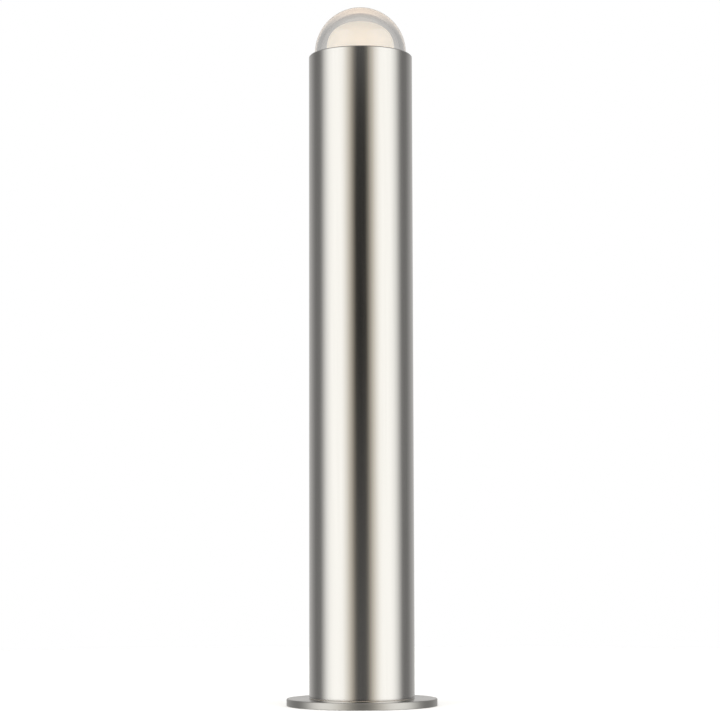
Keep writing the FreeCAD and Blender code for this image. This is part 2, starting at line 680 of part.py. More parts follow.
def terminal_fixing_places():
    """(x, z) of the two screws that fix the terminal block, one each side of its middle pole."""
    middle = terminal_foot_z + TERMINAL_SIZE[2] / 2
    return [(side * TERMINAL_POLE_STEP / 2, middle) for side in (-1, 1)]


def cord_grip_screw_places():
    middle = grip_top_z - GRIP_SIZE[2] / 2
    return [(side * GRIP_SCREW_X, middle) for side in (-1, 1)]


def tray_front_screws():
    """(x, z, size) of every screw that enters the tray's back plate from the front."""
    places = [(0, z, M4) for z in driver_screw_heights()]
    places += [(x, z, M3) for x, z in terminal_fixing_places()]
    return places + [(x, z, M4) for x, z in cord_grip_screw_places()]


def tray_screws():
    screw = cap_screw(M4, TRAY_SHEET + TRAY_SCREW_REACH)
    shelf_z = tray_top_z - TRAY_SHEET
    return group(aimed(screw, (0, 0, 1), (x, 0, shelf_z)) for x in (-TRAY_SCREW_X, TRAY_SCREW_X))


def tray_guide():
    """Nylon disc under the tray that keeps it central in the tube, open each side for the supply cable."""
    z0, z1 = tray_foot_z - GUIDE_THICK, tray_foot_z
    rim_r = bore_r - HEAD_CLEARANCE
    window = rod(rim_r - GUIDE_RIM, z0 - PAST, z1 + PAST).cut(
        block(-GUIDE_BAR / 2, GUIDE_BAR / 2, -2 * rim_r, 2 * rim_r, z0 - 2 * PAST, z1 + 2 * PAST))
    body = rod(rim_r, z0, z1).cut(window)
    body = body.cut(rod(GUIDE_CABLE_R, z0 - PAST, z1 + PAST, 0, GUIDE_CABLE_Y))
    for x in (-GUIDE_SCREW_X, GUIDE_SCREW_X):
        body = body.cut(rod(M3["shank"] + CLEARANCE_PLAY, z0 - PAST, z1 + PAST, x, GUIDE_CABLE_Y))
        body = body.cut(rod(M3["head"] + CLEARANCE_PLAY, z0 - PAST, z0 + M3["height"], x, GUIDE_CABLE_Y))
    return body


def guide_screws():
    z0 = tray_foot_z - GUIDE_THICK + M3["height"]
    screw = cap_screw(M3, GUIDE_THICK - M3["height"] + 2 * TRAY_SHEET)
    sides = (-GUIDE_SCREW_X, GUIDE_SCREW_X)
    return group(aimed(screw, (0, 0, 1), (x, GUIDE_CABLE_Y, z0)) for x in sides)


def driver_outline(z0, z1):
    """The driver's rounded box between two heights, with its back on the tray."""
    width, depth, _ = DRIVER_SIZE
    body = block(-width / 2, width / 2, TRAY_BACK - depth, TRAY_BACK, z0, z1)
    upright = [e for e in body.Edges if e.BoundBox.ZLength > z1 - z0 - SAME and e.BoundBox.YMin < 0]
    return body.makeFillet(DRIVER_EDGE_R, upright)


def driver_case():
    return driver_outline(driver_foot_z + DRIVER_CAP, driver_top_z - DRIVER_CAP)


def driver_cap(z0, z1, tab_z, lead_xs, lead_end_z):
    """A moulded end cap with a fixing tab on the tray and a hole for each lead."""
    width, thick, height = DRIVER_TAB
    tab = block(-width / 2, width / 2, TRAY_BACK - thick, TRAY_BACK, tab_z, tab_z + height)
    tab = tab.cut(aimed(rod(M4["shank"] + CLEARANCE_PLAY, -PAST, thick + PAST), (0, 1, 0),
                        (0, TRAY_BACK - thick, tab_z + height / 2)))
    body = driver_outline(z0, z1).fuse(tab).removeSplitter()
    low, high = lead_end_z - LEAD_INSERT, lead_end_z + LEAD_INSERT
    for x in lead_xs:
        body = body.cut(rod(LEAD_R + FIT_PLAY, low, high, x, lead_y))
    return body


def driver_cap_upper():
    return driver_cap(driver_top_z - DRIVER_CAP, driver_top_z, driver_top_z,
                      (-LED_LEAD_X, LED_LEAD_X), driver_top_z)


def driver_cap_lower():
    return driver_cap(driver_foot_z, driver_foot_z + DRIVER_CAP, driver_foot_z - DRIVER_TAB[2],
                      (-SUPPLY_LEAD_STEP, 0, SUPPLY_LEAD_STEP), driver_foot_z)


def driver_screws():
    thick = DRIVER_TAB[1]
    screw = cap_screw(M4, thick + 2 * TRAY_SHEET)
    return group(aimed(screw, (0, 1, 0), (0, TRAY_BACK - thick, z)) for z in driver_screw_heights())


def terminal_poles():
    return [-TERMINAL_POLE_STEP, 0, TERMINAL_POLE_STEP]


def terminal_block():
    width, depth, height = TERMINAL_SIZE
    front = TRAY_BACK - depth
    body = block(-width / 2, width / 2, front, TRAY_BACK, terminal_foot_z, terminal_top_z)
    for x in terminal_poles():
        for z in (terminal_top_z, terminal_foot_z):
            body = body.cut(rod(TERMINAL_ENTRY_R, z - TERMINAL_ENTRY_DEPTH, z + TERMINAL_ENTRY_DEPTH,
                                x, terminal_entry_y))
        for z in terminal_screw_heights():
            well = rod(TERMINAL_ENTRY_R, -PAST, depth - TERMINAL_ENTRY_BACK)
            body = body.cut(aimed(well, (0, 1, 0), (x, front, z)))
    hole = rod(M3["shank"] + CLEARANCE_PLAY, -PAST, depth + PAST)
    well = rod(M3["head"] + CLEARANCE_PLAY, -PAST, depth / 2)
    for x, z in terminal_fixing_places():
        body = body.cut(aimed(hole, (0, 1, 0), (x, front, z))).cut(aimed(well, (0, 1, 0), (x, front, z)))
    return body


def terminal_screw_heights():
    inset = TERMINAL_ENTRY_DEPTH / 2
    return [terminal_top_z - inset, terminal_foot_z + inset]


def terminal_screws():
    """The six slotted clamping screws in the block's wells."""
    front = TRAY_BACK - TERMINAL_SIZE[1]
    reach = terminal_entry_y - LEAD_R - front - 2 * FIT_PLAY
    screw = rod(TERMINAL_ENTRY_R - FIT_PLAY, TERMINAL_SCREW_SINK, reach)
    half_slot = TERMINAL_SLOT_WIDTH / 2
    screw = screw.cut(block(-TERMINAL_ENTRY_R, TERMINAL_ENTRY_R, -half_slot, half_slot,
                            TERMINAL_SCREW_SINK - PAST, TERMINAL_SCREW_SINK + TERMINAL_SLOT_DEPTH))
    places = [(x, front, z) for x in terminal_poles() for z in terminal_screw_heights()]
    return group(aimed(screw, (0, 1, 0), place) for place in places)


def terminal_fixing_screws():
    depth = TERMINAL_SIZE[1] / 2
    screw = cap_screw(M3, depth + 2 * TRAY_SHEET)
    return group(aimed(screw, (0, 1, 0), (x, TRAY_BACK - depth, z)) for x, z in terminal_fixing_places())


def cord_grip():
    """Saddle that clamps the supply cable against the tray."""
    width, depth, height = GRIP_SIZE
    front = TRAY_BACK - depth
    body = block(-width / 2, width / 2, front, TRAY_BACK, grip_top_z - height, grip_top_z)
    body = body.cut(rod(GRIP_CABLE_R, grip_top_z - height - PAST, grip_top_z + PAST,
                        0, TRAY_BACK - GRIP_CABLE_FORWARD))
    hole = rod(M4["shank"] + CLEARANCE_PLAY, -PAST, depth + PAST)
    for x, z in cord_grip_screw_places():
        body = body.cut(aimed(hole, (0, 1, 0), (x, front, z)))
    return body


def cord_grip_screws():
    depth = GRIP_SIZE[1]
    screw = cap_screw(M4, depth + 2 * TRAY_SHEET)
    return group(aimed(screw, (0, 1, 0), (x, TRAY_BACK - depth, z)) for x, z in cord_grip_screw_places())


# ---------------------------------------------------------------- leads held inside
def led_lead(side):
    """From the driver's upper cap, in through the tray's top shelf and up the hub to the connector."""
    start_x, end_x = side * LED_LEAD_X, side * connector_lead_x()
    start_z = driver_top_z - LEAD_INSERT
    end_z = cup_floor_z - CONNECTOR_GAP - CONNECTOR_SIZE[2] + LEAD_INSERT
    shelf_z, hub_z = tray_top_z - LED_LEAD_SHELF, end_z - LED_LEAD_STRAIGHT
    return lead([(start_x, lead_y, start_z), (start_x, lead_y, (start_z + shelf_z) / 2 - LED_LEAD_SHELF),
                 (end_x + side * LED_LEAD_LEAN / 2, -LED_LEAD_LEAN, shelf_z),
                 (end_x, 0, hub_z), (end_x, 0, end_z)])


def led_lead_positive():
    return led_lead(1)


def led_lead_negative():
    return led_lead(-1)


def supply_lead(pole, bow):
    """From a pole of the terminal block, bowed forwards, up into the driver's lower cap."""
    start_x, end_x = pole * TERMINAL_POLE_STEP, pole * SUPPLY_LEAD_STEP
    start_z, end_z = terminal_top_z - TERMINAL_ENTRY_DEPTH + LEAD_SHORT, driver_foot_z + LEAD_INSERT
    quarter = (end_z - start_z) / 4
    return lead([(start_x, terminal_entry_y, start_z), (start_x, terminal_entry_y, start_z + quarter),
                 ((start_x + end_x) / 2, lead_y - bow, start_z + 2 * quarter),
                 (end_x, lead_y, start_z + 3 * quarter), (end_x, lead_y, end_z)])


def live_lead():
    return supply_lead(-1, LIVE_BOW)


def neutral_lead():
    return supply_lead(0, NEUTRAL_BOW)


def earth_lead():
    return supply_lead(1, EARTH_BOW)


# ---------------------------------------------------------------- dome
def glass_dome():
    """Thick clear glass: a hemisphere on a straight skirt that stands in the collar."""
    edge = GLASS_EDGE
    foot, centre = dome_foot_z, dome_centre_z
    skirt = [(dome_bore_r, centre), (dome_bore_r, foot + edge), (dome_bore_r + edge, foot),
             (dome_r - edge, foot), (dome_r, foot + edge), (dome_r, centre)]
    sides = Part.makePolygon([Vector(r, 0, z) for r, z in skirt]).Edges
    diagonal = math.sqrt(0.5)
    arcs = []
    for radius in (dome_r, dome_bore_r):
        middle = Vector(radius * diagonal, 0, centre + radius * diagonal)
        arcs.append(Part.Arc(Vector(radius, 0, centre), middle, Vector(0, 0, centre + radius)).toShape())
    top = Part.makeLine(Vector(0, 0, centre + dome_r), Vector(0, 0, centre + dome_bore_r))
    outline = Part.Wire(Part.__sortEdges__(sides + arcs + [top]))
    return Part.Face(outline).revolve(Vector(0, 0, 0), UP, 360)


def dome_collar():
    """Aluminium ring that the glass stands in, with the threaded neck that screws into the head."""
    return lathe([(neck_bore_r, neck_foot_z), (neck_r, neck_foot_z), (neck_r, collar_floor_z),
                  (collar_r, collar_floor_z), (collar_r, collar_lip_z), (collar_lip_r, collar_lip_z),
                  (collar_lip_r, dome_foot_z), (neck_bore_r, dome_foot_z)])


def dome_bond():
    """Silicone bead between the glass and the collar's lip."""
    return ring(collar_lip_r, dome_r, dome_foot_z + GLASS_EDGE, collar_lip_z)


def dome_seal():
    """Flat silicone ring between the collar and the head."""
    return ring(collar_r - SEAL_INSET, neck_r + SEAL_ON_NECK, head_top_z, collar_floor_z)


NODES = [
    base_flange, base_gasket, spigot, spigot_oring, spigot_screws, foot_seal, cable_grommet,
    earth_stud, earth_washer, earth_nut,
    tube, tube_set_screws, head_seat_ring,
    head_cup, head_oring, head_screws, thermal_pad, led_board, led_chips, reflector_sheet, board_screws,
    led_connector, opal_diffuser, diffuser_snap_ring, heat_sink, heat_sink_screws,
    gear_tray, tray_screws, tray_guide, guide_screws, driver_case, driver_cap_upper, driver_cap_lower,
    driver_screws, terminal_block, terminal_screws, terminal_fixing_screws, cord_grip, cord_grip_screws,
    led_lead_positive, led_lead_negative, live_lead, neutral_lead, earth_lead,
    glass_dome, dome_collar, dome_bond, dome_seal,
]


def main():
    os.makedirs("parts", exist_ok=True)
    for node in NODES:
        shape = node()
        name = node.__name__
        if not shape.isValid() or not shape.Solids:
            raise ValueError(f"{name} isn't a valid solid")
        shape.exportStep(os.path.join("parts", name + ".step"))
        print(f"{name}: {len(shape.Solids)} solid(s), {shape.Volume / 1000:.2f} cm3")


main()
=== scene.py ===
# %% [markdown]
# # A bollard light in satin stainless steel
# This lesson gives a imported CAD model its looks. The model is loaded first as a fixed frame, so every piece
# that is made here takes its place and size from it. The CAD tools settle what fits and what moves, and
# Blender settles what the eye sees: smooth turned metal, thick clear glass and an opal shade that glows.

# %% Load the frame
import json
import math

import bmesh
import bpy
from mathutils import Matrix, Vector


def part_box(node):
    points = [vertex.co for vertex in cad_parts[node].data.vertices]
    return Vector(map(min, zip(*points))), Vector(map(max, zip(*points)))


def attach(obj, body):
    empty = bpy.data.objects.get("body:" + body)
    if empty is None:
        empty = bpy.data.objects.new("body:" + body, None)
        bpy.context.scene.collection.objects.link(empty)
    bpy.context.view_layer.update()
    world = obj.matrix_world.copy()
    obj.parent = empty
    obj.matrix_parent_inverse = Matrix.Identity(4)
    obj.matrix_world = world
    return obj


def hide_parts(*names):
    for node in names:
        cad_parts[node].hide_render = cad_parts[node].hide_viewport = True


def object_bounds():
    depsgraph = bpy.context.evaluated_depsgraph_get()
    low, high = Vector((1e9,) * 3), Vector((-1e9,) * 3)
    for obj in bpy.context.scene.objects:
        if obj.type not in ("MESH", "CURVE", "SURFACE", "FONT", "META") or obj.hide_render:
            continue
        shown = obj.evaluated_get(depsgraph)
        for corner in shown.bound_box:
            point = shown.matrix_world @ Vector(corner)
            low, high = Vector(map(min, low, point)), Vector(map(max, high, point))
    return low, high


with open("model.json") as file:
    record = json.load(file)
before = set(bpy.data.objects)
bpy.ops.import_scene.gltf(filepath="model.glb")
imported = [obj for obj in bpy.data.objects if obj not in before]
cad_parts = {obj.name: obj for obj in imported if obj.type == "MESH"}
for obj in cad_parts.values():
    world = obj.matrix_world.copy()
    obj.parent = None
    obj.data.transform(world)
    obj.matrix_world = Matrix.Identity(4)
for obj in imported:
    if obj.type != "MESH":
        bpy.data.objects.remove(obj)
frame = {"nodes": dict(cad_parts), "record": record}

MM = 0.001
cad_low, cad_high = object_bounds()
print("overall, mm:", [round((high - low) / MM, 1) for low, high in zip(cad_low, cad_high)])

# %% [markdown]
# ## Sizes that the pieces share
# A box round a CAD node tells how high it reaches and how wide it is. On a turned piece half its width is
# its radius, so most sizes of this light are read straight from the frame. What a box can't tell, such as a
# wall, an edge break or a hidden bore, is typed in where it is first used. The tube's bore is read from the
# ring that is fixed in it. Typing everything would also work, but it would go wrong as soon as the CAD
# model changed.

# %% Read radii and heights
def radius_of(node):
    low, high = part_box(node)
    return (high.x - low.x) / 2


def foot_of(node):
    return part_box(node)[0].z


def top_of(node):
    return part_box(node)[1].z


tube_r, bore_r = radius_of("tube"), radius_of("head_seat_ring")
tube_foot, rim = foot_of("tube"), top_of("tube")
dome_r, dome_foot, dome_top = radius_of("glass_dome"), foot_of("glass_dome"), top_of("glass_dome")
dome_centre = dome_top - dome_r
print(f"tube radius {tube_r / MM:.2f}, bore {bore_r / MM:.2f}, rim at {rim / MM:.1f} mm")
print(f"dome radius {dome_r / MM:.2f}, centre at {dome_centre / MM:.1f} mm")

# %% [markdown]
# ## Camera
# A long lens from nearly two metres away keeps the tube's sides almost parallel. The eye is low, at about a
# fifth of the height, so the far edge of the rim is hidden behind the near one and the flange is seen from
# just above. A shifted lens would keep the sides exactly parallel, but it would also push the object out of
# the middle in every other view, so the camera is tilted up a little instead.

# %% Place the camera
CAMERA_DISTANCE = 1.87  # metres
CAMERA_HEIGHT = 0.125
CAMERA_ASIDE = -0.0014
CAMERA_TILT = 5.098  # degrees
CAMERA_ROLL = 0.14
LENS_MM = 110.0

camera = bpy.data.objects.new("camera", bpy.data.cameras.new("camera"))
camera.data.lens = LENS_MM
camera.location = (CAMERA_ASIDE, -CAMERA_DISTANCE, CAMERA_HEIGHT)
camera.rotation_euler = (math.radians(90 + CAMERA_TILT), math.radians(CAMERA_ROLL), 0)
bpy.context.scene.collection.objects.link(camera)
bpy.context.scene.camera = camera
print(f"camera {CAMERA_DISTANCE} m away, tilted up {CAMERA_TILT} degrees")

# %% [markdown]
# ## A function that adds one shader node
# Lights, surroundings and materials are all made of shader nodes. Adding one takes the same few steps each
# time: make it, set its fields, fill its sockets and join it to earlier nodes. One small function does that
# for every kind of node, so what follows reads as a list of nodes from left to right.
#
# A Mix node has sockets with the same names for each kind of value, so those are given by number: inputs 2
# and 3 take numbers, inputs 6 and 7 take colours, and output 2 is the mixed colour.

# %% Node and colour helpers
def linear(hex_colour):
    """sRGB hex such as C9C5C0 to the linear colour that shaders use."""
    parts = [int(hex_colour[i:i + 2], 16) / 255 for i in (0, 2, 4)]
    return [p / 12.92 if p <= 0.04045 else ((p + 0.055) / 1.055) ** 2.4 for p in parts] + [1.0]


def add(tree, kind, inputs=None, **fields):
    """Adds a node. An input is a value, or another node's output that is linked to it."""
    node = tree.nodes.new(kind)
    for field, value in fields.items():
        setattr(node, field, value)
    for socket, value in (inputs or {}).items():
        if isinstance(value, bpy.types.NodeSocket):
            tree.links.new(value, node.inputs[socket])
        else:
            node.inputs[socket].default_value = value
    return node


# %% [markdown]
# ## Light
# A satin tube shows nothing but its surroundings, so the light is designed as a reflection. Two tall soft
# boxes stand left and right of the tube, with a dark gap between them in front: they draw the two broad
# bright bands and the dark line down the middle. A real soft box is brightest in its middle and fades
# towards its sides, so the strength of each follows how far across its face a point lies, and it is a
# little warmer where it fades out beside the gap. The boxes reach below the floor too, so the bands run
# down to the tube's foot. The camera doesn't see them, and they don't shine through the glass, where they
# would draw two lobes on the shade.

# %% A helper that hangs a light
def hang(light, place, target):
    """Makes an object for a light, turns its face to a target and hides it from the camera."""
    lamp = bpy.data.objects.new(light.name, light)
    lamp.location = place
    lamp.rotation_euler = (Vector(target) - Vector(place)).to_track_quat("-Z", "Y").to_euler()
    lamp.visible_camera = False
    bpy.context.scene.collection.objects.link(lamp)
    return lamp


# %% Soft boxes
BOX_DISTANCE = 2.3  # metres
BOX_TOP, BOX_BOTTOM = 3.2, -1.6
BOX_FIRST, BOX_LAST = 12.0, 102.5  # degrees round the tube, from straight in front
BOX_RADIANCE = 1.37
FADE_INNER, FADE_OUTER = 0.37, 0.45  # how much of the face each side's fade takes

box_height, box_middle = BOX_TOP - BOX_BOTTOM, (BOX_TOP + BOX_BOTTOM) / 2
box_angle = math.radians((BOX_FIRST + BOX_LAST) / 2)
box_width = 2 * BOX_DISTANCE * math.tan(math.radians((BOX_LAST - BOX_FIRST) / 2))


def soft_box(name, side):
    """A tall rectangular light on one side, -1 or 1, that fades towards both its upright edges."""
    light = bpy.data.lights.new(name, "AREA")
    light.shape = "RECTANGLE"
    light.size, light.size_y = box_width, box_height
    light.energy = BOX_RADIANCE * math.pi * box_width * box_height
    light.use_nodes = True
    tree = light.node_tree
    tree.nodes.clear()
    face = add(tree, "ShaderNodeNewGeometry")
    across = add(tree, "ShaderNodeSeparateXYZ", {0: face.outputs["Parametric"]})
    at_start = 0.0 if side > 0 else 1.0
    from_gap = add(tree, "ShaderNodeMapRange", {"Value": across.outputs["X"], "To Min": at_start,
                                                "To Max": 1 - at_start})
    inner = add(tree, "ShaderNodeMapRange", {"Value": from_gap.outputs[0], "From Max": FADE_INNER})
    outer = add(tree, "ShaderNodeMapRange", {"Value": from_gap.outputs[0], "From Min": 1.0,
                                             "From Max": 1 - FADE_OUTER}, interpolation_type="SMOOTHSTEP")
    both = add(tree, "ShaderNodeMath", {0: inner.outputs[0], 1: outer.outputs[0]}, operation="MULTIPLY")
    warmth = add(tree, "ShaderNodeMix", {"Factor": inner.outputs[0], 6: linear("FFEFD0"),
                                         7: linear("FFFFFB")}, data_type="RGBA")
    shine = add(tree, "ShaderNodeEmission", {"Color": warmth.outputs[2], "Strength": both.outputs[0]})
    add(tree, "ShaderNodeOutputLight", {"Surface": shine.outputs[0]})
    x, y = side * BOX_DISTANCE * math.sin(box_angle), -BOX_DISTANCE * math.cos(box_angle)
    box = hang(light, (x, y, box_middle), (0, 0, box_middle))
    box.visible_transmission = False


soft_box("soft_box_left", -1)
soft_box("soft_box_right", 1)
print(f"each soft box is {box_width:.1f} m wide and spans {BOX_LAST - BOX_FIRST:.1f} degrees")

# %% [markdown]
# Two plain lights do the rest. One hangs overhead and lights the floor. The other stands low behind the
# camera, is a little warm, and lights the front of the shade through the glass. It is kept low because from
# higher up it draws a bright square on the shade. Reflections don't see either of them, so they change
# little on metal.

# %% Overhead light and front fill
OVERHEAD_SIZE, OVERHEAD_RADIANCE, OVERHEAD_PLACE = 5.0, 1.75, (0, 0, 3.0)
FILL_SIZE, FILL_RADIANCE, FILL_PLACE = 1.6, 4.6, (0, -2.6, -0.05)


def plain_light(name, size, radiance, tone, place, target):
    """A square light with an even face, which reflections and the camera don't see."""
    light = bpy.data.lights.new(name, "AREA")
    light.size = size
    light.energy = radiance * math.pi * size * size
    light.color = linear(tone)[:3]
    lamp = hang(light, place, target)
    lamp.visible_glossy = False
    return lamp


overhead = plain_light("overhead", OVERHEAD_SIZE, OVERHEAD_RADIANCE, "FFFFFF", OVERHEAD_PLACE, (0, 0, 0))
overhead.visible_transmission = False
plain_light("front_fill", FILL_SIZE, FILL_RADIANCE, "FFD6B4", FILL_PLACE, (0, 0, rim))
print("lights:", len(bpy.data.lights))

# %% [markdown]
# ## Surroundings
# The world is what a ray finds when it misses the lights. Its direction tells where it looks: the Y part
# runs from the camera's side, at -1, to the far end, at 1, and the Z part rises to the ceiling.
#
# Metal sees a studio that is almost black on the camera's side, dim at the sides and brighter at the far
# end, where a roll of paper hangs, under a plain dim ceiling. An image of a studio could do this too, but a
# few ramps are easier to change one at a time.

# %% What metal sees
NEAR_SIDE, SIDES, PAPER, CEILING = 0.015, 0.23, 0.68, 0.3
NEAR_Y = (-0.97, -0.8)  # over this stretch the near side turns into the sides
PAPER_Y = (0.5, 1.0)
CEILING_Z = (0.4, 0.7)

world = bpy.data.worlds.new("studio")
bpy.context.scene.world = world
world.use_nodes = True
tree = world.node_tree
tree.nodes.clear()
direction = add(tree, "ShaderNodeTexCoord")
parts = add(tree, "ShaderNodeSeparateXYZ", {0: direction.outputs["Generated"]})
to_paper = add(tree, "ShaderNodeMapRange", {"Value": parts.outputs["Y"], "From Min": PAPER_Y[0],
                                            "From Max": PAPER_Y[1], "To Min": SIDES, "To Max": PAPER})
to_camera = add(tree, "ShaderNodeMapRange", {"Value": parts.outputs["Y"], "From Min": NEAR_Y[0],
                                             "From Max": NEAR_Y[1], "To Min": NEAR_SIDE / SIDES})
walls = add(tree, "ShaderNodeMath", {0: to_paper.outputs[0], 1: to_camera.outputs[0]}, operation="MULTIPLY")
upwards = add(tree, "ShaderNodeMapRange", {"Value": parts.outputs["Z"], "From Min": CEILING_Z[0],
                                           "From Max": CEILING_Z[1]}, interpolation_type="SMOOTHSTEP")
print("brightness, near side to paper:", NEAR_SIDE, SIDES, PAPER)

# %% [markdown]
# The dark line down the tube is the near side's reflection. It isn't equally dark all the way: it lightens
# slowly towards the foot, where the reflection turns slightly downwards, and quickly just under the rim.
# Two more ramps along Z, added to the near side only, give it this glimmer at its two ends.

# %% Glimmer at the ends of the dark line
GLIMMER_FOOT, GLIMMER_TOP = 0.1, 0.15
FOOT_Z = (0.1, -0.06)
TOP_Z = (0.21, 0.24)

low_glimmer = add(tree, "ShaderNodeMapRange", {"Value": parts.outputs["Z"], "From Min": FOOT_Z[0],
                                               "From Max": FOOT_Z[1], "To Max": GLIMMER_FOOT})
high_glimmer = add(tree, "ShaderNodeMapRange", {"Value": parts.outputs["Z"], "From Min": TOP_Z[0],
                                                "From Max": TOP_Z[1], "To Max": GLIMMER_TOP})
glimmer = add(tree, "ShaderNodeMath", {0: low_glimmer.outputs[0], 1: high_glimmer.outputs[0]})
nearness = add(tree, "ShaderNodeMapRange", {"Value": parts.outputs["Y"], "From Min": NEAR_Y[1],
                                            "From Max": NEAR_Y[0]})
room = add(tree, "ShaderNodeMath", {0: glimmer.outputs[0], 1: nearness.outputs[0], 2: walls.outputs[0]},
           operation="MULTIPLY_ADD")
by_metal = add(tree, "ShaderNodeMix", {"Factor": upwards.outputs[0], 2: room.outputs[0], 3: CEILING})
print("world nodes so far:", len(tree.nodes))

# %% [markdown]
# Near its outline the dome is seen through its wall alone. Light that enters there can't leave through the
# inner skin, is turned back inside the glass, and comes out at the far side after two skins and not four.
# That is where thick glass looks bright or dark, whatever stands behind it. Here it gathers a bright,
# slightly warm sky above the light and fades to plain grey glass at the sides. The light path's
# transmission depth counts the skins, so such rays can be picked out, and the direction turned about the
# line of sight tells crown from side.

# %% What the glass wall gathers
HORIZON, SKYLIGHT = 1.5, 1.0
SKY_Z = (0.2, 0.55)
GLASS_SIDES = 0.46
CROWN_STARTS = 0.62  # the cosine of the angle from the crown at which the sky starts to show
CROWN_POWER = 2.0
WALL_SKINS = 2.5  # a ray with fewer skins than this has passed the wall alone

path = add(tree, "ShaderNodeLightPath")
sky = add(tree, "ShaderNodeMapRange", {"Value": parts.outputs["Z"], "From Min": SKY_Z[0],
                                       "From Max": SKY_Z[1], "To Min": HORIZON, "To Max": SKYLIGHT})
flattened = add(tree, "ShaderNodeVectorMath", {0: direction.outputs["Generated"], 1: (1, 0, 1)},
                operation="MULTIPLY")
unit = add(tree, "ShaderNodeVectorMath", {0: flattened.outputs[0]}, operation="NORMALIZE")
unit_parts = add(tree, "ShaderNodeSeparateXYZ", {0: unit.outputs[0]})
near_crown = add(tree, "ShaderNodeMapRange", {"Value": unit_parts.outputs["Z"], "From Min": CROWN_STARTS})
crown_share = add(tree, "ShaderNodeMath", {0: near_crown.outputs[0], 1: CROWN_POWER}, operation="POWER")
by_wall = add(tree, "ShaderNodeMix", {"Factor": crown_share.outputs[0], 2: GLASS_SIDES, 3: sky.outputs[0]})
few_skins = add(tree, "ShaderNodeMath", {0: path.outputs["Transmission Depth"], 1: WALL_SKINS},
                operation="LESS_THAN")
in_wall = add(tree, "ShaderNodeMath", {0: few_skins.outputs[0], 1: path.outputs["Is Transmission Ray"]},
              operation="MULTIPLY")
warm_share = add(tree, "ShaderNodeMath", {0: crown_share.outputs[0], 1: in_wall.outputs[0]},
                 operation="MULTIPLY")
print("world nodes so far:", len(tree.nodes))

# %% [markdown]
# The two views are joined by what kind of ray asks. The camera itself sees plain white, so the object
# stands free as in a catalogue. The Standard view transform shows colours as they are, where Blender's
# default would grey the white.

# %% Join the surroundings
strength = add(tree, "ShaderNodeMix", {"Factor": in_wall.outputs[0], 2: by_metal.outputs[0],
                                       3: by_wall.outputs[0]})
tone = add(tree, "ShaderNodeMix", {"Factor": warm_share.outputs[0], 6: linear("FFFEFC"),
                                   7: linear("FFEEDD")}, data_type="RGBA")
studio = add(tree, "ShaderNodeBackground", {"Color": tone.outputs[2], "Strength": strength.outputs[0]})
white = add(tree, "ShaderNodeBackground", {"Color": linear("FFFFFF"), "Strength": 1.0})
either = add(tree, "ShaderNodeMixShader", {0: path.outputs["Is Camera Ray"], 1: studio.outputs[0],
                                           2: white.outputs[0]})
add(tree, "ShaderNodeOutputWorld", {"Surface": either.outputs[0]})
bpy.context.scene.view_settings.view_transform = "Standard"
print("world nodes:", len(tree.nodes))

# %% [markdown]
# ## Turning on a lathe
# Nearly every visible piece of this light was turned or drawn round one axis. In Blender such a piece is a
# few points beside the axis, joined into an outline, and one spin of that outline through a full turn. A
# cylinder primitive with loop cuts would give the same shape with more steps. Corners are rounded on the
# outline, where a bevel has one vertex to deal with, and not on the finished mesh, where it has a whole
# ring of edges.

# %% Lathe helpers
STEPS = 192
ROUND_STEPS = 4
TOUCHING = 0.001 * MM
SHARP_ANGLE = 30  # degrees between faces, past which an edge is shaded sharp
stand_ins = {}  # each CAD node that a new piece stands for, with that piece


def bmesh_piece(name, shape, body, node, sharp_angle=SHARP_ANGLE):
    """Turns a bmesh into a smooth-shaded piece that rides on a CAD body and stands for a CAD node."""
    mesh = bpy.data.meshes.new(name)
    shape.to_mesh(mesh)
    shape.free()
    mesh.shade_smooth()
    mesh.set_sharp_from_angle(angle=math.radians(sharp_angle))
    piece = bpy.data.objects.new(name, mesh)
    bpy.context.scene.collection.objects.link(piece)
    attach(piece, body)
    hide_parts(node)
    stand_ins[node] = piece
    print(f"{name}: {len(mesh.polygons)} faces, stands for {node}")
    return piece


def outline_ring(points, rounds):
    """A closed outline of (radius, height) points in the XZ plane. rounds gives a radius to some corners."""
    shape = bmesh.new()
    corners = [shape.verts.new((r, 0, z)) for r, z in points]
    for here, there in zip(corners, corners[1:] + corners[:1]):
        shape.edges.new((here, there))
    for index, radius in rounds.items():
        bmesh.ops.bevel(shape, geom=[corners[index]], offset=radius, offset_type="OFFSET",
                        segments=ROUND_STEPS, profile=0.5, affect="VERTICES", material=-1)
    return shape


def spin_round(shape):
    """Spins an outline round the Z axis, closes its seam and poles and turns its faces outwards."""
    bmesh.ops.spin(shape, geom=shape.verts[:] + shape.edges[:], cent=(0, 0, 0), axis=(0, 0, 1),
                   angle=math.tau, steps=STEPS, use_merge=True)
    bmesh.ops.remove_doubles(shape, verts=shape.verts, dist=TOUCHING)
    bmesh.ops.recalc_face_normals(shape, faces=shape.faces)


def turned(name, points, body, node, rounds=None):
    """One turned piece, from its outline to an object that stands for its CAD node."""
    shape = outline_ring(points, rounds or {})
    spin_round(shape)
    return bmesh_piece(name, shape, body, node)


# %% [markdown]
# ## Tube
# The tube is a length of welded stainless tube, cut square and finished with a fine belt. Its rim has a
# small break, a flat of under a millimetre that shows as one thin darker line, because it mirrors the dim
# ceiling. The break is two points of the outline where a sharp rim would have one, which is simpler than a
# bevel.

# %% Spin the tube
RIM_BREAK = 0.8 * MM

tube = turned("satin_tube", [(bore_r, tube_foot), (tube_r, tube_foot), (tube_r, rim - RIM_BREAK),
                             (tube_r - RIM_BREAK, rim), (bore_r, rim)],
              "sleeve", "tube")

# %% [markdown]
# ## Holes
# A hole in a finished piece is easiest as a Boolean: a second mesh fills the hole's space and is taken
# away. The cutters are cones, which bmesh also uses for cylinders, as cones with two equal ends. The result
# is read back as a plain mesh, so the piece ends up with no modifier and no helper object.

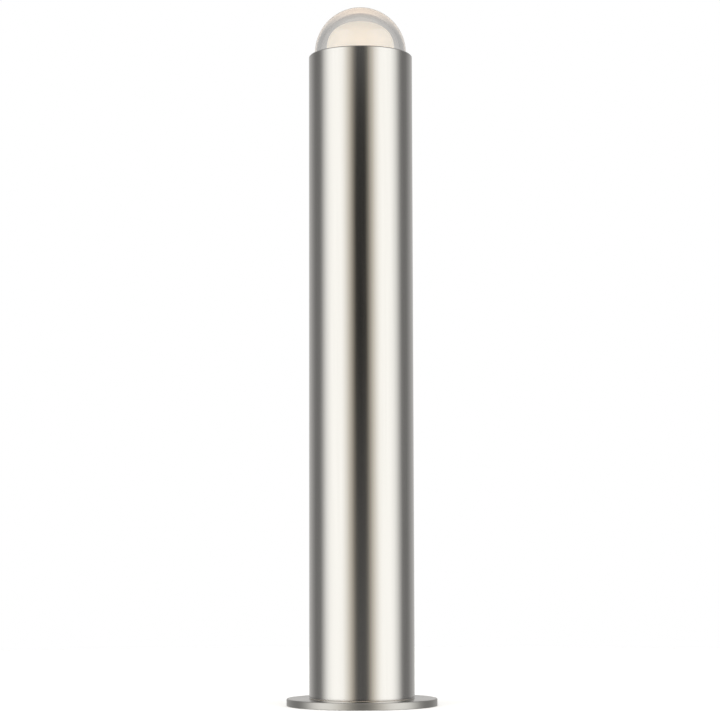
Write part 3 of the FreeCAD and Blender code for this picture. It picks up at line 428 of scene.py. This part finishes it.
# %% Hole helpers
PEG_SIDES = 32
PAST = 2 * MM  # how far a cutter runs past the faces that it cuts


def peg(shape, radius, length, place, along, end_radius=None):
    """Adds a cylinder or a cone to a bmesh. It starts at place and runs along a direction."""
    turn = Vector(along).to_track_quat("Z", "Y").to_matrix().to_4x4()
    centre = Vector(place) + Vector(along).normalized() * (length / 2)
    bmesh.ops.create_cone(shape, cap_ends=True, segments=PEG_SIDES, radius1=radius,
                          radius2=radius if end_radius is None else end_radius,
                          depth=length, matrix=Matrix.Translation(centre) @ turn)


def cut_away(piece, cutter_shape):
    """Takes a bmesh away from a piece and keeps the result as its mesh."""
    mesh = bpy.data.meshes.new("cutter")
    cutter_shape.to_mesh(mesh)
    cutter_shape.free()
    cutter = bpy.data.objects.new("cutter", mesh)
    bpy.context.scene.collection.objects.link(cutter)
    boolean = piece.modifiers.new("holes", "BOOLEAN")
    boolean.operation, boolean.solver, boolean.object = "DIFFERENCE", "EXACT", cutter
    graph = bpy.context.evaluated_depsgraph_get()
    result = bpy.data.meshes.new_from_object(piece.evaluated_get(graph))
    piece.modifiers.clear()
    old, piece.data = piece.data, result
    result.name = piece.name
    bpy.data.meshes.remove(old)
    bpy.data.objects.remove(cutter)
    bpy.data.meshes.remove(mesh)
    result.shade_smooth()
    result.set_sharp_from_angle(angle=math.radians(SHARP_ANGLE))
    print(f"{piece.name}: {len(result.polygons)} faces after the cut")


# %% [markdown]
# The set screws sit 30 degrees either side of the back, which is at 90 degrees. The CAD node of the screws
# holds both, and its box gives their height, so only the angles and the holes' radius are typed.

# %% Cut the set screw holes
SET_SCREW_ANGLES = (60, 120)
SET_SCREW_HOLE_R = 2.55 * MM

screws_low, screws_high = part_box("tube_set_screws")
screw_height = (screws_low.z + screws_high.z) / 2
holes = bmesh.new()
for degrees in SET_SCREW_ANGLES:
    outwards = Vector((math.cos(math.radians(degrees)), math.sin(math.radians(degrees)), 0))
    start = outwards * (bore_r - PAST) + Vector((0, 0, screw_height))
    peg(holes, SET_SCREW_HOLE_R, tube_r - bore_r + 2 * PAST, start, outwards)
cut_away(tube, holes)

# %% [markdown]
# ## Base flange
# A disc laser-cut from plate and faced on a lathe. Its upper edge is rounded so that nothing catches on it,
# and its lower edge is hardly broken, so that it meets the ground in a crisp line. Below, it has a groove
# for the foam gasket and a stepped bore for the cable grommet, which are steps of the same outline.

# %% Spin the flange
FLANGE_EDGE_R, FLANGE_FOOT_R = 0.8 * MM, 0.3 * MM
GASKET_WIDTH, GASKET_DEPTH = 6 * MM, 1.5 * MM
GROMMET_WAIST_R, GROMMET_FOOT, GROMMET_FOOT_DEPTH = 10 * MM, 2 * MM, 2 * MM

flange_r, flange_top = radius_of("base_flange"), top_of("base_flange")
gasket_r, grommet_foot_r = radius_of("base_gasket"), GROMMET_WAIST_R + GROMMET_FOOT
bored = [(GROMMET_WAIST_R, flange_top), (GROMMET_WAIST_R, GROMMET_FOOT_DEPTH),
         (grommet_foot_r, GROMMET_FOOT_DEPTH), (grommet_foot_r, 0)]
grooved = [(gasket_r - GASKET_WIDTH, 0), (gasket_r - GASKET_WIDTH, GASKET_DEPTH),
           (gasket_r, GASKET_DEPTH), (gasket_r, 0)]
outline = bored + grooved + [(flange_r, 0), (flange_r, flange_top)]
lower_edge, upper_edge = len(outline) - 2, len(outline) - 1
flange = turned("round_flange", outline, "base", "base_flange",
                rounds={lower_edge: FLANGE_FOOT_R, upper_edge: FLANGE_EDGE_R})

# %% [markdown]
# Four anchor holes go through the flange, and the record's bolt pattern gives their number and circle. The
# three screws of the spigot are sunk in from below. Their countersinks show when the flange is seen from
# under it. The rest of each hole is hidden by the screw in it, so only the countersinks are cut.

# %% Drill the flange
ANCHOR_HOLE_R, ANCHOR_START = 4.5 * MM, 45
SCREW_COUNT, SCREW_START = 3, -90
SCREW_HEAD_R, SCREW_HEAD_PLAY = 4.8 * MM, 0.25 * MM
SCREW_HOLE_R, COUNTERSINK_DEPTH = 2.75 * MM, 2.8 * MM
BELOW = 0.01 * MM  # a countersink starts this far below the face, so that no two faces coincide


def spots_round(count, start_angle, radius):
    """Places on a circle round the Z axis, evenly spaced from a starting angle in degrees."""
    angles = [math.radians(start_angle + 360 / count * i) for i in range(count)]
    return [Vector((math.cos(a), math.sin(a), 0)) * radius for a in angles]


anchors = next(m for m in frame["record"]["mounts"] if m["name"] == "anchor_holes")["dims"]
drills = bmesh.new()
for spot in spots_round(anchors["count"], ANCHOR_START, anchors["pcd_mm"] * MM / 2):
    peg(drills, ANCHOR_HOLE_R, flange_top + 2 * PAST, spot - Vector((0, 0, PAST)), (0, 0, 1))
cut_away(flange, drills)

screw_circle_r = -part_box("spigot_screws")[0].y - SCREW_HEAD_R
sinks = bmesh.new()
for spot in spots_round(SCREW_COUNT, SCREW_START, screw_circle_r):
    peg(sinks, SCREW_HEAD_R + SCREW_HEAD_PLAY, COUNTERSINK_DEPTH + BELOW, spot - Vector((0, 0, BELOW)),
        (0, 0, 1), end_radius=SCREW_HOLE_R)
cut_away(flange, sinks)

# %% [markdown]
# ## Glass dome
# The dome is pressed clear glass nearly 5 mm thick, a half ball on a short straight skirt. Its outer and
# inner skins both matter, because light bends at each of them. One vertex spun a quarter turn about the
# ball's centre draws each arc, and the outline is then spun round the axis like any other turned piece. A
# UV sphere with a Solidify modifier would do too, but it would need its lower half cut off first.

# %% Spin the dome
GLASS_WALL = 4.9 * MM
GLASS_EDGE = 0.5 * MM
EDGE_STEPS = 3
ARC_STEPS = 40
DOME_SHARP_ANGLE = 50


def glass_skin(shape, radius):
    """Draws one skin in the XZ plane, from the axis down to the foot, and gives its lowest vertex."""
    side = shape.verts.new((radius, 0, dome_centre))
    bmesh.ops.spin(shape, geom=[side], cent=(0, 0, dome_centre), axis=(0, 1, 0), angle=-math.pi / 2,
                   steps=ARC_STEPS)
    lowest = bmesh.ops.extrude_vert_indiv(shape, verts=[side])["verts"][0]
    lowest.co = (radius, 0, dome_foot)
    return lowest


shape = bmesh.new()
foot_corners = [glass_skin(shape, dome_r), glass_skin(shape, dome_r - GLASS_WALL)]
shape.edges.new(foot_corners)
bmesh.ops.bevel(shape, geom=foot_corners, offset=GLASS_EDGE, offset_type="OFFSET", segments=EDGE_STEPS,
                profile=0.5, affect="VERTICES", material=-1)
spin_round(shape)
dome = bmesh_piece("clear_dome", shape, "dome", "glass_dome", DOME_SHARP_ANGLE)

# %% [markdown]
# ## Opal shade
# Inside the glass stands a shade of opal plastic. It is thermoformed, so its crown is fuller than half a
# ball and a little flat on top. A formula gives such a curve: a superellipse, which is an ellipse whose
# power is more than 2. Its outer and inner curves, the straight skirt and the foot flange make one outline
# to spin.

# %% Spin the shade
SHADE_R = 29.0 * MM
SHADE_WALL = 2.2 * MM
SHADE_CROWN = 21.6 * MM
SHADE_FULLNESS = 2.3
SHADE_FOOT = 2.0 * MM
CROWN_STEPS = 28
SHADE_SHARP_ANGLE = 50

shade_low, shade_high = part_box("opal_diffuser")
shoulder, foot_top = shade_high.z - SHADE_CROWN, shade_low.z + SHADE_FOOT


def crown(width, height):
    """Points of a quarter superellipse, from its side at the shoulder up to the axis."""
    power = 2 / SHADE_FULLNESS
    angles = [math.pi / 2 * i / CROWN_STEPS for i in range(CROWN_STEPS)]
    side = [(width * math.cos(a) ** power, shoulder + height * math.sin(a) ** power) for a in angles]
    return side + [(0, shoulder + height)]


inside_r = SHADE_R - SHADE_WALL
foot_points = [(inside_r, shade_low.z), (shade_high.x, shade_low.z), (shade_high.x, foot_top),
               (SHADE_R, foot_top)]
inner_points = crown(inside_r, SHADE_CROWN - SHADE_WALL)[::-1]
shape = bmesh.new()
corners = [shape.verts.new((r, 0, z)) for r, z in inner_points + foot_points + crown(SHADE_R, SHADE_CROWN)]
for here, there in zip(corners, corners[1:]):
    shape.edges.new((here, there))
spin_round(shape)
shade = bmesh_piece("opal_shade", shape, "sleeve", "opal_diffuser", SHADE_SHARP_ANGLE)

# %% [markdown]
# ## Collar and bond
# The glass stands in a turned aluminium collar, whose neck screws into the light head. A bead of white
# silicone fills the space round the glass and holds it. Both are turned shapes, and the collar is one
# outline with a step for the glass to stand on, which saves joining two rings. The bead fills the collar's
# upper bore, so its box gives that radius, and only the neck, which no box shows, is typed.

# %% Spin the collar and the bead
COLLAR_BREAK = 0.4 * MM
NECK_R, NECK_WALL = 32.85 * MM, 2.5 * MM

neck_bore_r = NECK_R - NECK_WALL
collar_low, collar_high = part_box("dome_collar")
bond_low, bond_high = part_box("dome_bond")
collar_floor = top_of("dome_seal")
collar = turned("turned_collar",
                [(neck_bore_r, collar_low.z), (NECK_R, collar_low.z), (NECK_R, collar_floor),
                 (collar_high.x, collar_floor), (collar_high.x, collar_high.z), (bond_high.x, collar_high.z),
                 (bond_high.x, dome_foot), (neck_bore_r, dome_foot)],
                "dome", "dome_collar",
                rounds={0: COLLAR_BREAK, 1: COLLAR_BREAK, 3: COLLAR_BREAK})
bond = turned("silicone_bead", [(dome_r, bond_low.z), (bond_high.x, bond_low.z), (bond_high.x, bond_high.z),
                                (dome_r, bond_high.z)],
              "dome", "dome_bond")

# %% [markdown]
# ## Seals
# A flat silicone ring seals the collar to the light head. A thin film of the same silicone lies in the
# joint between tube and flange, a little back from the tube's side, so that it shows only as a fine line.
# Two rubber rings lie in grooves of the head and the spigot. They are cut from round cord, so their outline
# is a circle.

# %% Spin the flat seals
SEAL_PLAY, SEAL_BREAK = 0.15 * MM, 0.3 * MM
FOOT_SEAL_BREAK = 0.1 * MM


def flat_ring(name, inner_r, body, node, edge_break):
    """A flat ring of silicone in the place of its CAD node, with its two outer edges rounded."""
    low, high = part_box(node)
    return turned(name, [(inner_r, low.z), (high.x, low.z), (high.x, high.z), (inner_r, high.z)],
                  body, node, rounds={1: edge_break, 2: edge_break})


seal = flat_ring("flat_seal", NECK_R + SEAL_PLAY, "seal", "dome_seal", SEAL_BREAK)
foot_ring = flat_ring("foot_ring", bore_r, "base", "foot_seal", FOOT_SEAL_BREAK)

# %% Spin the rubber rings
CORD_R = 0.95 * MM
CORD_SIDES = 20
CORD_SHARP_ANGLE = 60


def rubber_cord_ring(name, node, body):
    """A ring of round rubber cord in the place of its CAD node."""
    low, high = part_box(node)
    shape = bmesh.new()
    centre = Vector((high.x - CORD_R, 0, (low.z + high.z) / 2))
    bmesh.ops.create_circle(shape, segments=CORD_SIDES, radius=CORD_R,
                            matrix=Matrix.Translation(centre) @ Matrix.Rotation(math.pi / 2, 4, "X"))
    spin_round(shape)
    return bmesh_piece(name, shape, body, node, CORD_SHARP_ANGLE)


spigot_ring = rubber_cord_ring("spigot_ring", "spigot_oring", "base")
head_ring = rubber_cord_ring("head_ring", "head_oring", "sleeve")

# %% [markdown]
# ## Giving a finish to a piece
# A new piece and a CAD node take a finish the same way: by their material slots. One function fills every
# slot that a CAD node has and gives a new mesh its first one. It also notes each name, so the last cell can
# tell whether any piece or node was forgotten.

# %% Dressing helper
dressed = set()


def new_material(name):
    material = bpy.data.materials.new(name)
    material.use_nodes = True
    material.node_tree.nodes.clear()
    return material, material.node_tree


def surface(tree, bsdf):
    add(tree, "ShaderNodeOutputMaterial", {"Surface": bsdf.outputs[0]})


def dress(material, *pieces):
    """Gives a material to pieces, or to CAD nodes by name."""
    for piece in pieces:
        thing = frame["nodes"][piece] if isinstance(piece, str) else piece
        if thing.material_slots:
            for slot in thing.material_slots:
                slot.material = material
        else:
            thing.data.materials.append(material)
        dressed.add(thing.name)
    print(f"{material.name}: {len(pieces)} pieces")


# %% [markdown]
# ## Satin stainless steel
# AISI 304 tube, finished lengthwise with a fine belt. The belt leaves scratches along the tube, too fine to
# see one by one. They do two things: reflections blur across the tube far more than along it, and a faint
# streak shows where a group of scratches runs deeper. The first is the shader's anisotropy, whose tangent
# runs round the Z axis on a mesh with no UV map. The second is noise stretched along Z. Real scratches are
# about 0.05 mm apart, so the streaks are drawn 1 mm apart to show at all.

# %% Satin stainless
STREAK_WIDTH = 1.0 * MM
STREAK_LENGTH = 120 * MM

satin, tree = new_material("satin_stainless")
place = add(tree, "ShaderNodeTexCoord")
stretch = add(tree, "ShaderNodeMapping", {"Vector": place.outputs["Object"],
                                          "Scale": (1 / STREAK_WIDTH, 1 / STREAK_WIDTH, 1 / STREAK_LENGTH)})
grain = add(tree, "ShaderNodeTexNoise", {"Vector": stretch.outputs[0], "Scale": 1.0, "Detail": 3.0,
                                         "Roughness": 0.6})
tint = add(tree, "ShaderNodeMix", {"Factor": grain.outputs["Fac"], 6: linear("C6C4C1"),
                                   7: linear("D0CECC")}, data_type="RGBA")
rough = add(tree, "ShaderNodeMapRange", {"Value": grain.outputs["Fac"], "To Min": 0.12, "To Max": 0.18})
dents = add(tree, "ShaderNodeBump", {"Height": grain.outputs["Fac"], "Strength": 0.05,
                                     "Distance": 0.02 * MM})
steel = add(tree, "ShaderNodeBsdfPrincipled", {"Base Color": tint.outputs[2], "Metallic": 1.0,
                                               "Roughness": rough.outputs[0], "Anisotropic": 0.7,
                                               "Normal": dents.outputs[0]})
surface(tree, steel)
dress(satin, tube)

# %% [markdown]
# ## Faced stainless steel
# The flange is the same steel, but it was faced on a lathe, so its marks are rings and not streaks. A wave
# texture in rings draws them round the Z axis, 0.8 mm apart, and noise bends them a little, as tool marks
# are. The disc's edge was cut by a laser and only brushed, so from the rounded corner outwards it is
# duller. The distance from the Z axis, which is the length of the X and Y parts, tells where that edge
# begins.

# %% Faced stainless
TOOL_MARK = 0.8 * MM
WAVE_PERIOD = 0.314  # metres from one ring or band of a wave texture to the next, at a scale of 1
FACED_GRAIN = 1.11 * MM
EDGE_ROUGHNESS = 0.36

faced, tree = new_material("faced_stainless")
place = add(tree, "ShaderNodeTexCoord")
flat = add(tree, "ShaderNodeVectorMath", {0: place.outputs["Object"], 1: (1, 1, 0)}, operation="MULTIPLY")
reach = add(tree, "ShaderNodeVectorMath", {0: flat.outputs[0]}, operation="LENGTH")
at_edge = add(tree, "ShaderNodeMapRange", {"Value": reach.outputs["Value"],
                                           "From Min": flange_r - FLANGE_EDGE_R,
                                           "From Max": flange_r - FLANGE_EDGE_R / 4})
marks = add(tree, "ShaderNodeTexWave", {"Vector": place.outputs["Object"], "Scale": WAVE_PERIOD / TOOL_MARK,
                                        "Distortion": 1.5, "Detail": 2.0, "Detail Scale": 2.0},
            wave_type="RINGS", rings_direction="Z")
grain = add(tree, "ShaderNodeTexNoise", {"Vector": place.outputs["Object"], "Scale": 1 / FACED_GRAIN,
                                         "Detail": 3.0})
tint = add(tree, "ShaderNodeMix", {"Factor": grain.outputs["Fac"], 6: linear("B8B5B1"),
                                   7: linear("C0BDBA")}, data_type="RGBA")
duller = add(tree, "ShaderNodeMix", {"Factor": at_edge.outputs[0], 6: tint.outputs[2],
                                     7: linear("B8B6B3")}, data_type="RGBA")
rough = add(tree, "ShaderNodeMapRange", {"Value": grain.outputs["Fac"], "To Min": 0.16, "To Max": 0.22})
coarser = add(tree, "ShaderNodeMix", {"Factor": at_edge.outputs[0], 2: rough.outputs[0], 3: EDGE_ROUGHNESS})
dents = add(tree, "ShaderNodeBump", {"Height": marks.outputs["Fac"], "Strength": 0.08,
                                     "Distance": 0.01 * MM})
steel = add(tree, "ShaderNodeBsdfPrincipled", {"Base Color": duller.outputs[2], "Metallic": 1.0,
                                               "Roughness": coarser.outputs[0], "Normal": dents.outputs[0]})
surface(tree, steel)
dress(faced, flange)

# %% [markdown]
# ## Clear glass
# Pressed soda-lime glass: colourless, with a polished skin and an IOR of 1.52. Pressing leaves a very slow
# waviness, which a noise of 15 mm bends into the normals. A transmission of 1 makes the shader glass. The
# dome has a real inner and outer skin, so its wall bends the light and turns it back near the outline by
# itself.

# %% Clear glass
PRESS_WAVE = 15 * MM

glass, tree = new_material("pressed_glass")
place = add(tree, "ShaderNodeTexCoord")
waves = add(tree, "ShaderNodeTexNoise", {"Vector": place.outputs["Object"], "Scale": 1 / PRESS_WAVE,
                                         "Detail": 1.0})
dents = add(tree, "ShaderNodeBump", {"Height": waves.outputs["Fac"], "Strength": 0.1, "Distance": 0.1 * MM})
clear = add(tree, "ShaderNodeBsdfPrincipled", {"Base Color": linear("FBFAF9"), "Roughness": 0.0,
                                               "IOR": 1.52, "Transmission Weight": 1.0,
                                               "Normal": dents.outputs[0]})
surface(tree, clear)
dress(glass, dome)

# %% [markdown]
# ## Opal plastic
# Opal acrylic with light behind it. It is milky all through, so the LEDs are not seen, only an even warm
# glow that is a little stronger low down, nearer to the board. A gradient along Z sets the glow, and the
# front fill does the rest on its satin skin. The milk is slightly cloudy, which a fine noise gives its
# colour.

# %% Opal plastic
GLOW, GLOW_AT_TOP = 0.8, 0.78  # its strength at the rim, and the share of it that is left at the top
MILK_CLOUD = 2.5 * MM

opal, tree = new_material("opal_acrylic")
place = add(tree, "ShaderNodeTexCoord")
height = add(tree, "ShaderNodeSeparateXYZ", {0: place.outputs["Object"]})
glow = add(tree, "ShaderNodeMapRange", {"Value": height.outputs["Z"], "From Min": rim,
                                        "From Max": shade_high.z, "To Min": GLOW,
                                        "To Max": GLOW * GLOW_AT_TOP})
milk = add(tree, "ShaderNodeTexNoise", {"Vector": place.outputs["Object"], "Scale": 1 / MILK_CLOUD,
                                        "Detail": 2.0})
tint = add(tree, "ShaderNodeMix", {"Factor": milk.outputs["Fac"], 6: linear("B2B0AD"),
                                   7: linear("B9B7B4")}, data_type="RGBA")
milky = add(tree, "ShaderNodeBsdfPrincipled", {"Base Color": tint.outputs[2], "Roughness": 0.4, "IOR": 1.49,
                                               "Emission Color": linear("FFF7E9"),
                                               "Emission Strength": glow.outputs[0]})
surface(tree, milky)
dress(opal, shade)

# %% [markdown]
# ## Turned aluminium
# The collar, the head and the spigot are turned from aluminium bar and left bare. A lathe tool leaves a
# fine spiral, drawn as bands along Z 0.6 mm apart, which carry a little bump and roughness.

# %% Turned aluminium
FEED = 0.6 * MM
BLOTCH = 8.33 * MM

turned_metal, tree = new_material("turned_aluminium")
place = add(tree, "ShaderNodeTexCoord")
feed = add(tree, "ShaderNodeTexWave", {"Vector": place.outputs["Object"], "Scale": WAVE_PERIOD / FEED,
                                       "Distortion": 0.6, "Detail": 1.0}, wave_type="BANDS",
           bands_direction="Z")
blotch = add(tree, "ShaderNodeTexNoise", {"Vector": place.outputs["Object"], "Scale": 1 / BLOTCH,
                                          "Detail": 3.0})
tint = add(tree, "ShaderNodeMix", {"Factor": blotch.outputs["Fac"], 6: linear("C9CACB"),
                                   7: linear("DADBDC")}, data_type="RGBA")
rough = add(tree, "ShaderNodeMapRange", {"Value": feed.outputs["Fac"], "To Min": 0.28, "To Max": 0.4})
dents = add(tree, "ShaderNodeBump", {"Height": feed.outputs["Fac"], "Strength": 0.15,
                                     "Distance": 0.02 * MM})
metal = add(tree, "ShaderNodeBsdfPrincipled", {"Base Color": tint.outputs[2], "Metallic": 1.0,
                                               "Roughness": rough.outputs[0], "Normal": dents.outputs[0]})
surface(tree, metal)
dress(turned_metal, collar, "spigot", "head_cup")

# %% [markdown]
# ## Rubber, silicone and foam
# Moulded EPDM rubber is almost black and dull, with a fine skin. Silicone is milky and a little shinier.
# Closed-cell foam is black and full of tiny pits. One function makes them all from their colours, their
# roughness and the size of their grain, because only those differ.

# %% Soft finishes
ROUGHNESS_SWING = 0.08  # how much rougher or smoother the grain makes a soft finish


def soft_finish(name, dark, light, roughness, grain_size, pit):
    """A dull, fine-grained finish. pit is how deep the grain is."""
    material, tree = new_material(name)
    place = add(tree, "ShaderNodeTexCoord")
    grain = add(tree, "ShaderNodeTexNoise", {"Vector": place.outputs["Object"], "Scale": 1 / grain_size,
                                             "Detail": 4.0})
    tint = add(tree, "ShaderNodeMix", {"Factor": grain.outputs["Fac"], 6: linear(dark), 7: linear(light)},
               data_type="RGBA")
    rough = add(tree, "ShaderNodeMapRange", {"Value": grain.outputs["Fac"],
                                             "To Min": roughness - ROUGHNESS_SWING,
                                             "To Max": roughness + ROUGHNESS_SWING})
    dents = add(tree, "ShaderNodeBump", {"Height": grain.outputs["Fac"], "Strength": 0.3, "Distance": pit})
    soft = add(tree, "ShaderNodeBsdfPrincipled", {"Base Color": tint.outputs[2],
                                                  "Roughness": rough.outputs[0], "IOR": 1.5,
                                                  "Normal": dents.outputs[0]})
    surface(tree, soft)
    return material


rubber = soft_finish("moulded_epdm", "141414", "242322", 0.75, 0.8 * MM, 0.05 * MM)
silicone = soft_finish("white_silicone", "CFCDC8", "DEDCD8", 0.5, 1.5 * MM, 0.03 * MM)
foam = soft_finish("closed_cell_foam", "1B1B1B", "333232", 0.9, 0.5 * MM, 0.2 * MM)
pad = soft_finish("thermal_silicone", "6F8296", "8294A6", 0.7, 1.0 * MM, 0.03 * MM)
dress(rubber, spigot_ring, head_ring, "cable_grommet")
dress(silicone, bond, seal, foot_ring)
dress(foam, "base_gasket")
dress(pad, "thermal_pad")

# %% [markdown]
# ## Moulded plastics
# The driver's case, its caps, the terminal block and the cord grip are moulded in ABS and nylon with a fine
# spark-eroded texture. The leads are PVC, drawn smooth. Their finishes come from the same soft recipe with
# a lower roughness, each with its own two close shades.

# %% Plastics and insulation
PLASTICS = {
    "white_abs": ("D8D7D2", "E4E3DF", 0.42, ["driver_case", "terminal_block", "led_connector"]),
    "black_abs": ("1A1A1B", "262627", 0.45, ["driver_cap_upper", "driver_cap_lower", "cord_grip"]),
    "grey_nylon": ("8A8B8D", "989A9C", 0.5, ["tray_guide"]),
    "white_film": ("EDEDEB", "F5F5F3", 0.35, ["reflector_sheet"]),
    "solder_mask": ("E3E6E6", "EEF0F0", 0.3, ["led_board"]),
    "phosphor_gel": ("E8C867", "F2D98A", 0.25, ["led_chips"]),
    "red_pvc": ("A81F17", "BC2A20", 0.4, ["led_lead_positive"]),
    "black_pvc": ("161616", "222222", 0.4, ["led_lead_negative"]),
    "brown_pvc": ("5A3320", "68402A", 0.4, ["live_lead"]),
    "blue_pvc": ("23528F", "2D61A3", 0.4, ["neutral_lead"]),
    "green_pvc": ("3F8A35", "4C9A40", 0.4, ["earth_lead"]),
}
MOULD_GRAIN, MOULD_PIT = 0.6 * MM, 0.02 * MM

for name, (dark, light, roughness, nodes) in PLASTICS.items():
    dress(soft_finish(name, dark, light, roughness, MOULD_GRAIN, MOULD_PIT), *nodes)

# %% [markdown]
# ## Other metals
# Bright screws, zinc-plated tray steel, brass terminals, drawn spring wire and the black anodised heat
# sink. Each is metal with its own colour and roughness, and each has a mottle: zinc has spangles some
# millimetres wide, and a bright screw has hardly any. The mottle drives colour and roughness together.

# %% Metals
METALS = {
    "bright_stainless": ("BFBDBA", "D2D0CD", 0.22, 0.5 * MM,
                         ["spigot_screws", "tube_set_screws", "head_screws", "board_screws",
                          "heat_sink_screws", "tray_screws", "guide_screws", "driver_screws",
                          "terminal_fixing_screws", "cord_grip_screws"]),
    "zinc_plate": ("A9ABAE", "C4C7CA", 0.38, 3.0 * MM, ["gear_tray", "head_seat_ring"]),
    "plain_brass": ("C09A4E", "D6B468", 0.3, 1.0 * MM,
                    ["earth_stud", "earth_washer", "earth_nut", "terminal_screws"]),
    "spring_wire": ("9B9DA0", "B2B4B7", 0.3, 0.6 * MM, ["diffuser_snap_ring"]),
    "black_anodised": ("1C1C1E", "29292B", 0.5, 0.8 * MM, ["heat_sink"]),
}
METAL_SWING = 0.06

for name, (dark, light, roughness, mottle_size, nodes) in METALS.items():
    material, tree = new_material(name)
    place = add(tree, "ShaderNodeTexCoord")
    mottle = add(tree, "ShaderNodeTexNoise", {"Vector": place.outputs["Object"], "Scale": 1 / mottle_size,
                                              "Detail": 3.0})
    tint = add(tree, "ShaderNodeMix", {"Factor": mottle.outputs["Fac"], 6: linear(dark), 7: linear(light)},
               data_type="RGBA")
    rough = add(tree, "ShaderNodeMapRange", {"Value": mottle.outputs["Fac"],
                                             "To Min": roughness - METAL_SWING,
                                             "To Max": roughness + METAL_SWING})
    metal = add(tree, "ShaderNodeBsdfPrincipled", {"Base Color": tint.outputs[2], "Metallic": 1.0,
                                                   "Roughness": rough.outputs[0]})
    surface(tree, metal)
    dress(material, *nodes)

# %% [markdown]
# ## Floor
# The light stands on a plain pale floor. It is one wide disc, just under the flange. Reflections and shadows
# leave it out: the lower ends of the soft boxes are below it, and they have to light the metal as if it
# weren't there.

# %% Floor
FLOOR_R = 1.2  # metres
FLOOR_GAP = 0.1 * MM
FLOOR_SIDES = 96
FLOOR_CLOUD = 33.3 * MM

shape = bmesh.new()
bmesh.ops.create_circle(shape, cap_ends=True, segments=FLOOR_SIDES, radius=FLOOR_R,
                        matrix=Matrix.Translation((0, 0, cad_low.z - FLOOR_GAP)))
mesh = bpy.data.meshes.new("floor")
shape.to_mesh(mesh)
shape.free()
floor = bpy.data.objects.new("floor", mesh)
bpy.context.scene.collection.objects.link(floor)
floor.visible_glossy = False
floor.visible_shadow = False

pale, tree = new_material("pale_floor")
place = add(tree, "ShaderNodeTexCoord")
grain = add(tree, "ShaderNodeTexNoise", {"Vector": place.outputs["Object"], "Scale": 1 / FLOOR_CLOUD})
tint = add(tree, "ShaderNodeMix", {"Factor": grain.outputs["Fac"], 6: linear("F3F3F2"),
                                   7: linear("F6F6F5")}, data_type="RGBA")
matt = add(tree, "ShaderNodeBsdfPrincipled", {"Base Color": tint.outputs[2], "Roughness": 0.9})
surface(tree, matt)
floor.data.materials.append(pale)
print(f"floor {2 * FLOOR_R:.1f} m across")

# %% [markdown]
# ## Last look
# Every CAD node is either dressed or stands behind a new piece, and every new piece is dressed: the list
# printed below names any that isn't.

# %% List what has no finish
still_shown = set(frame["nodes"]) - set(stand_ins)
new_names = {piece.name for piece in stand_ins.values()}
print("without a finish:", sorted((still_shown | new_names) - dressed))
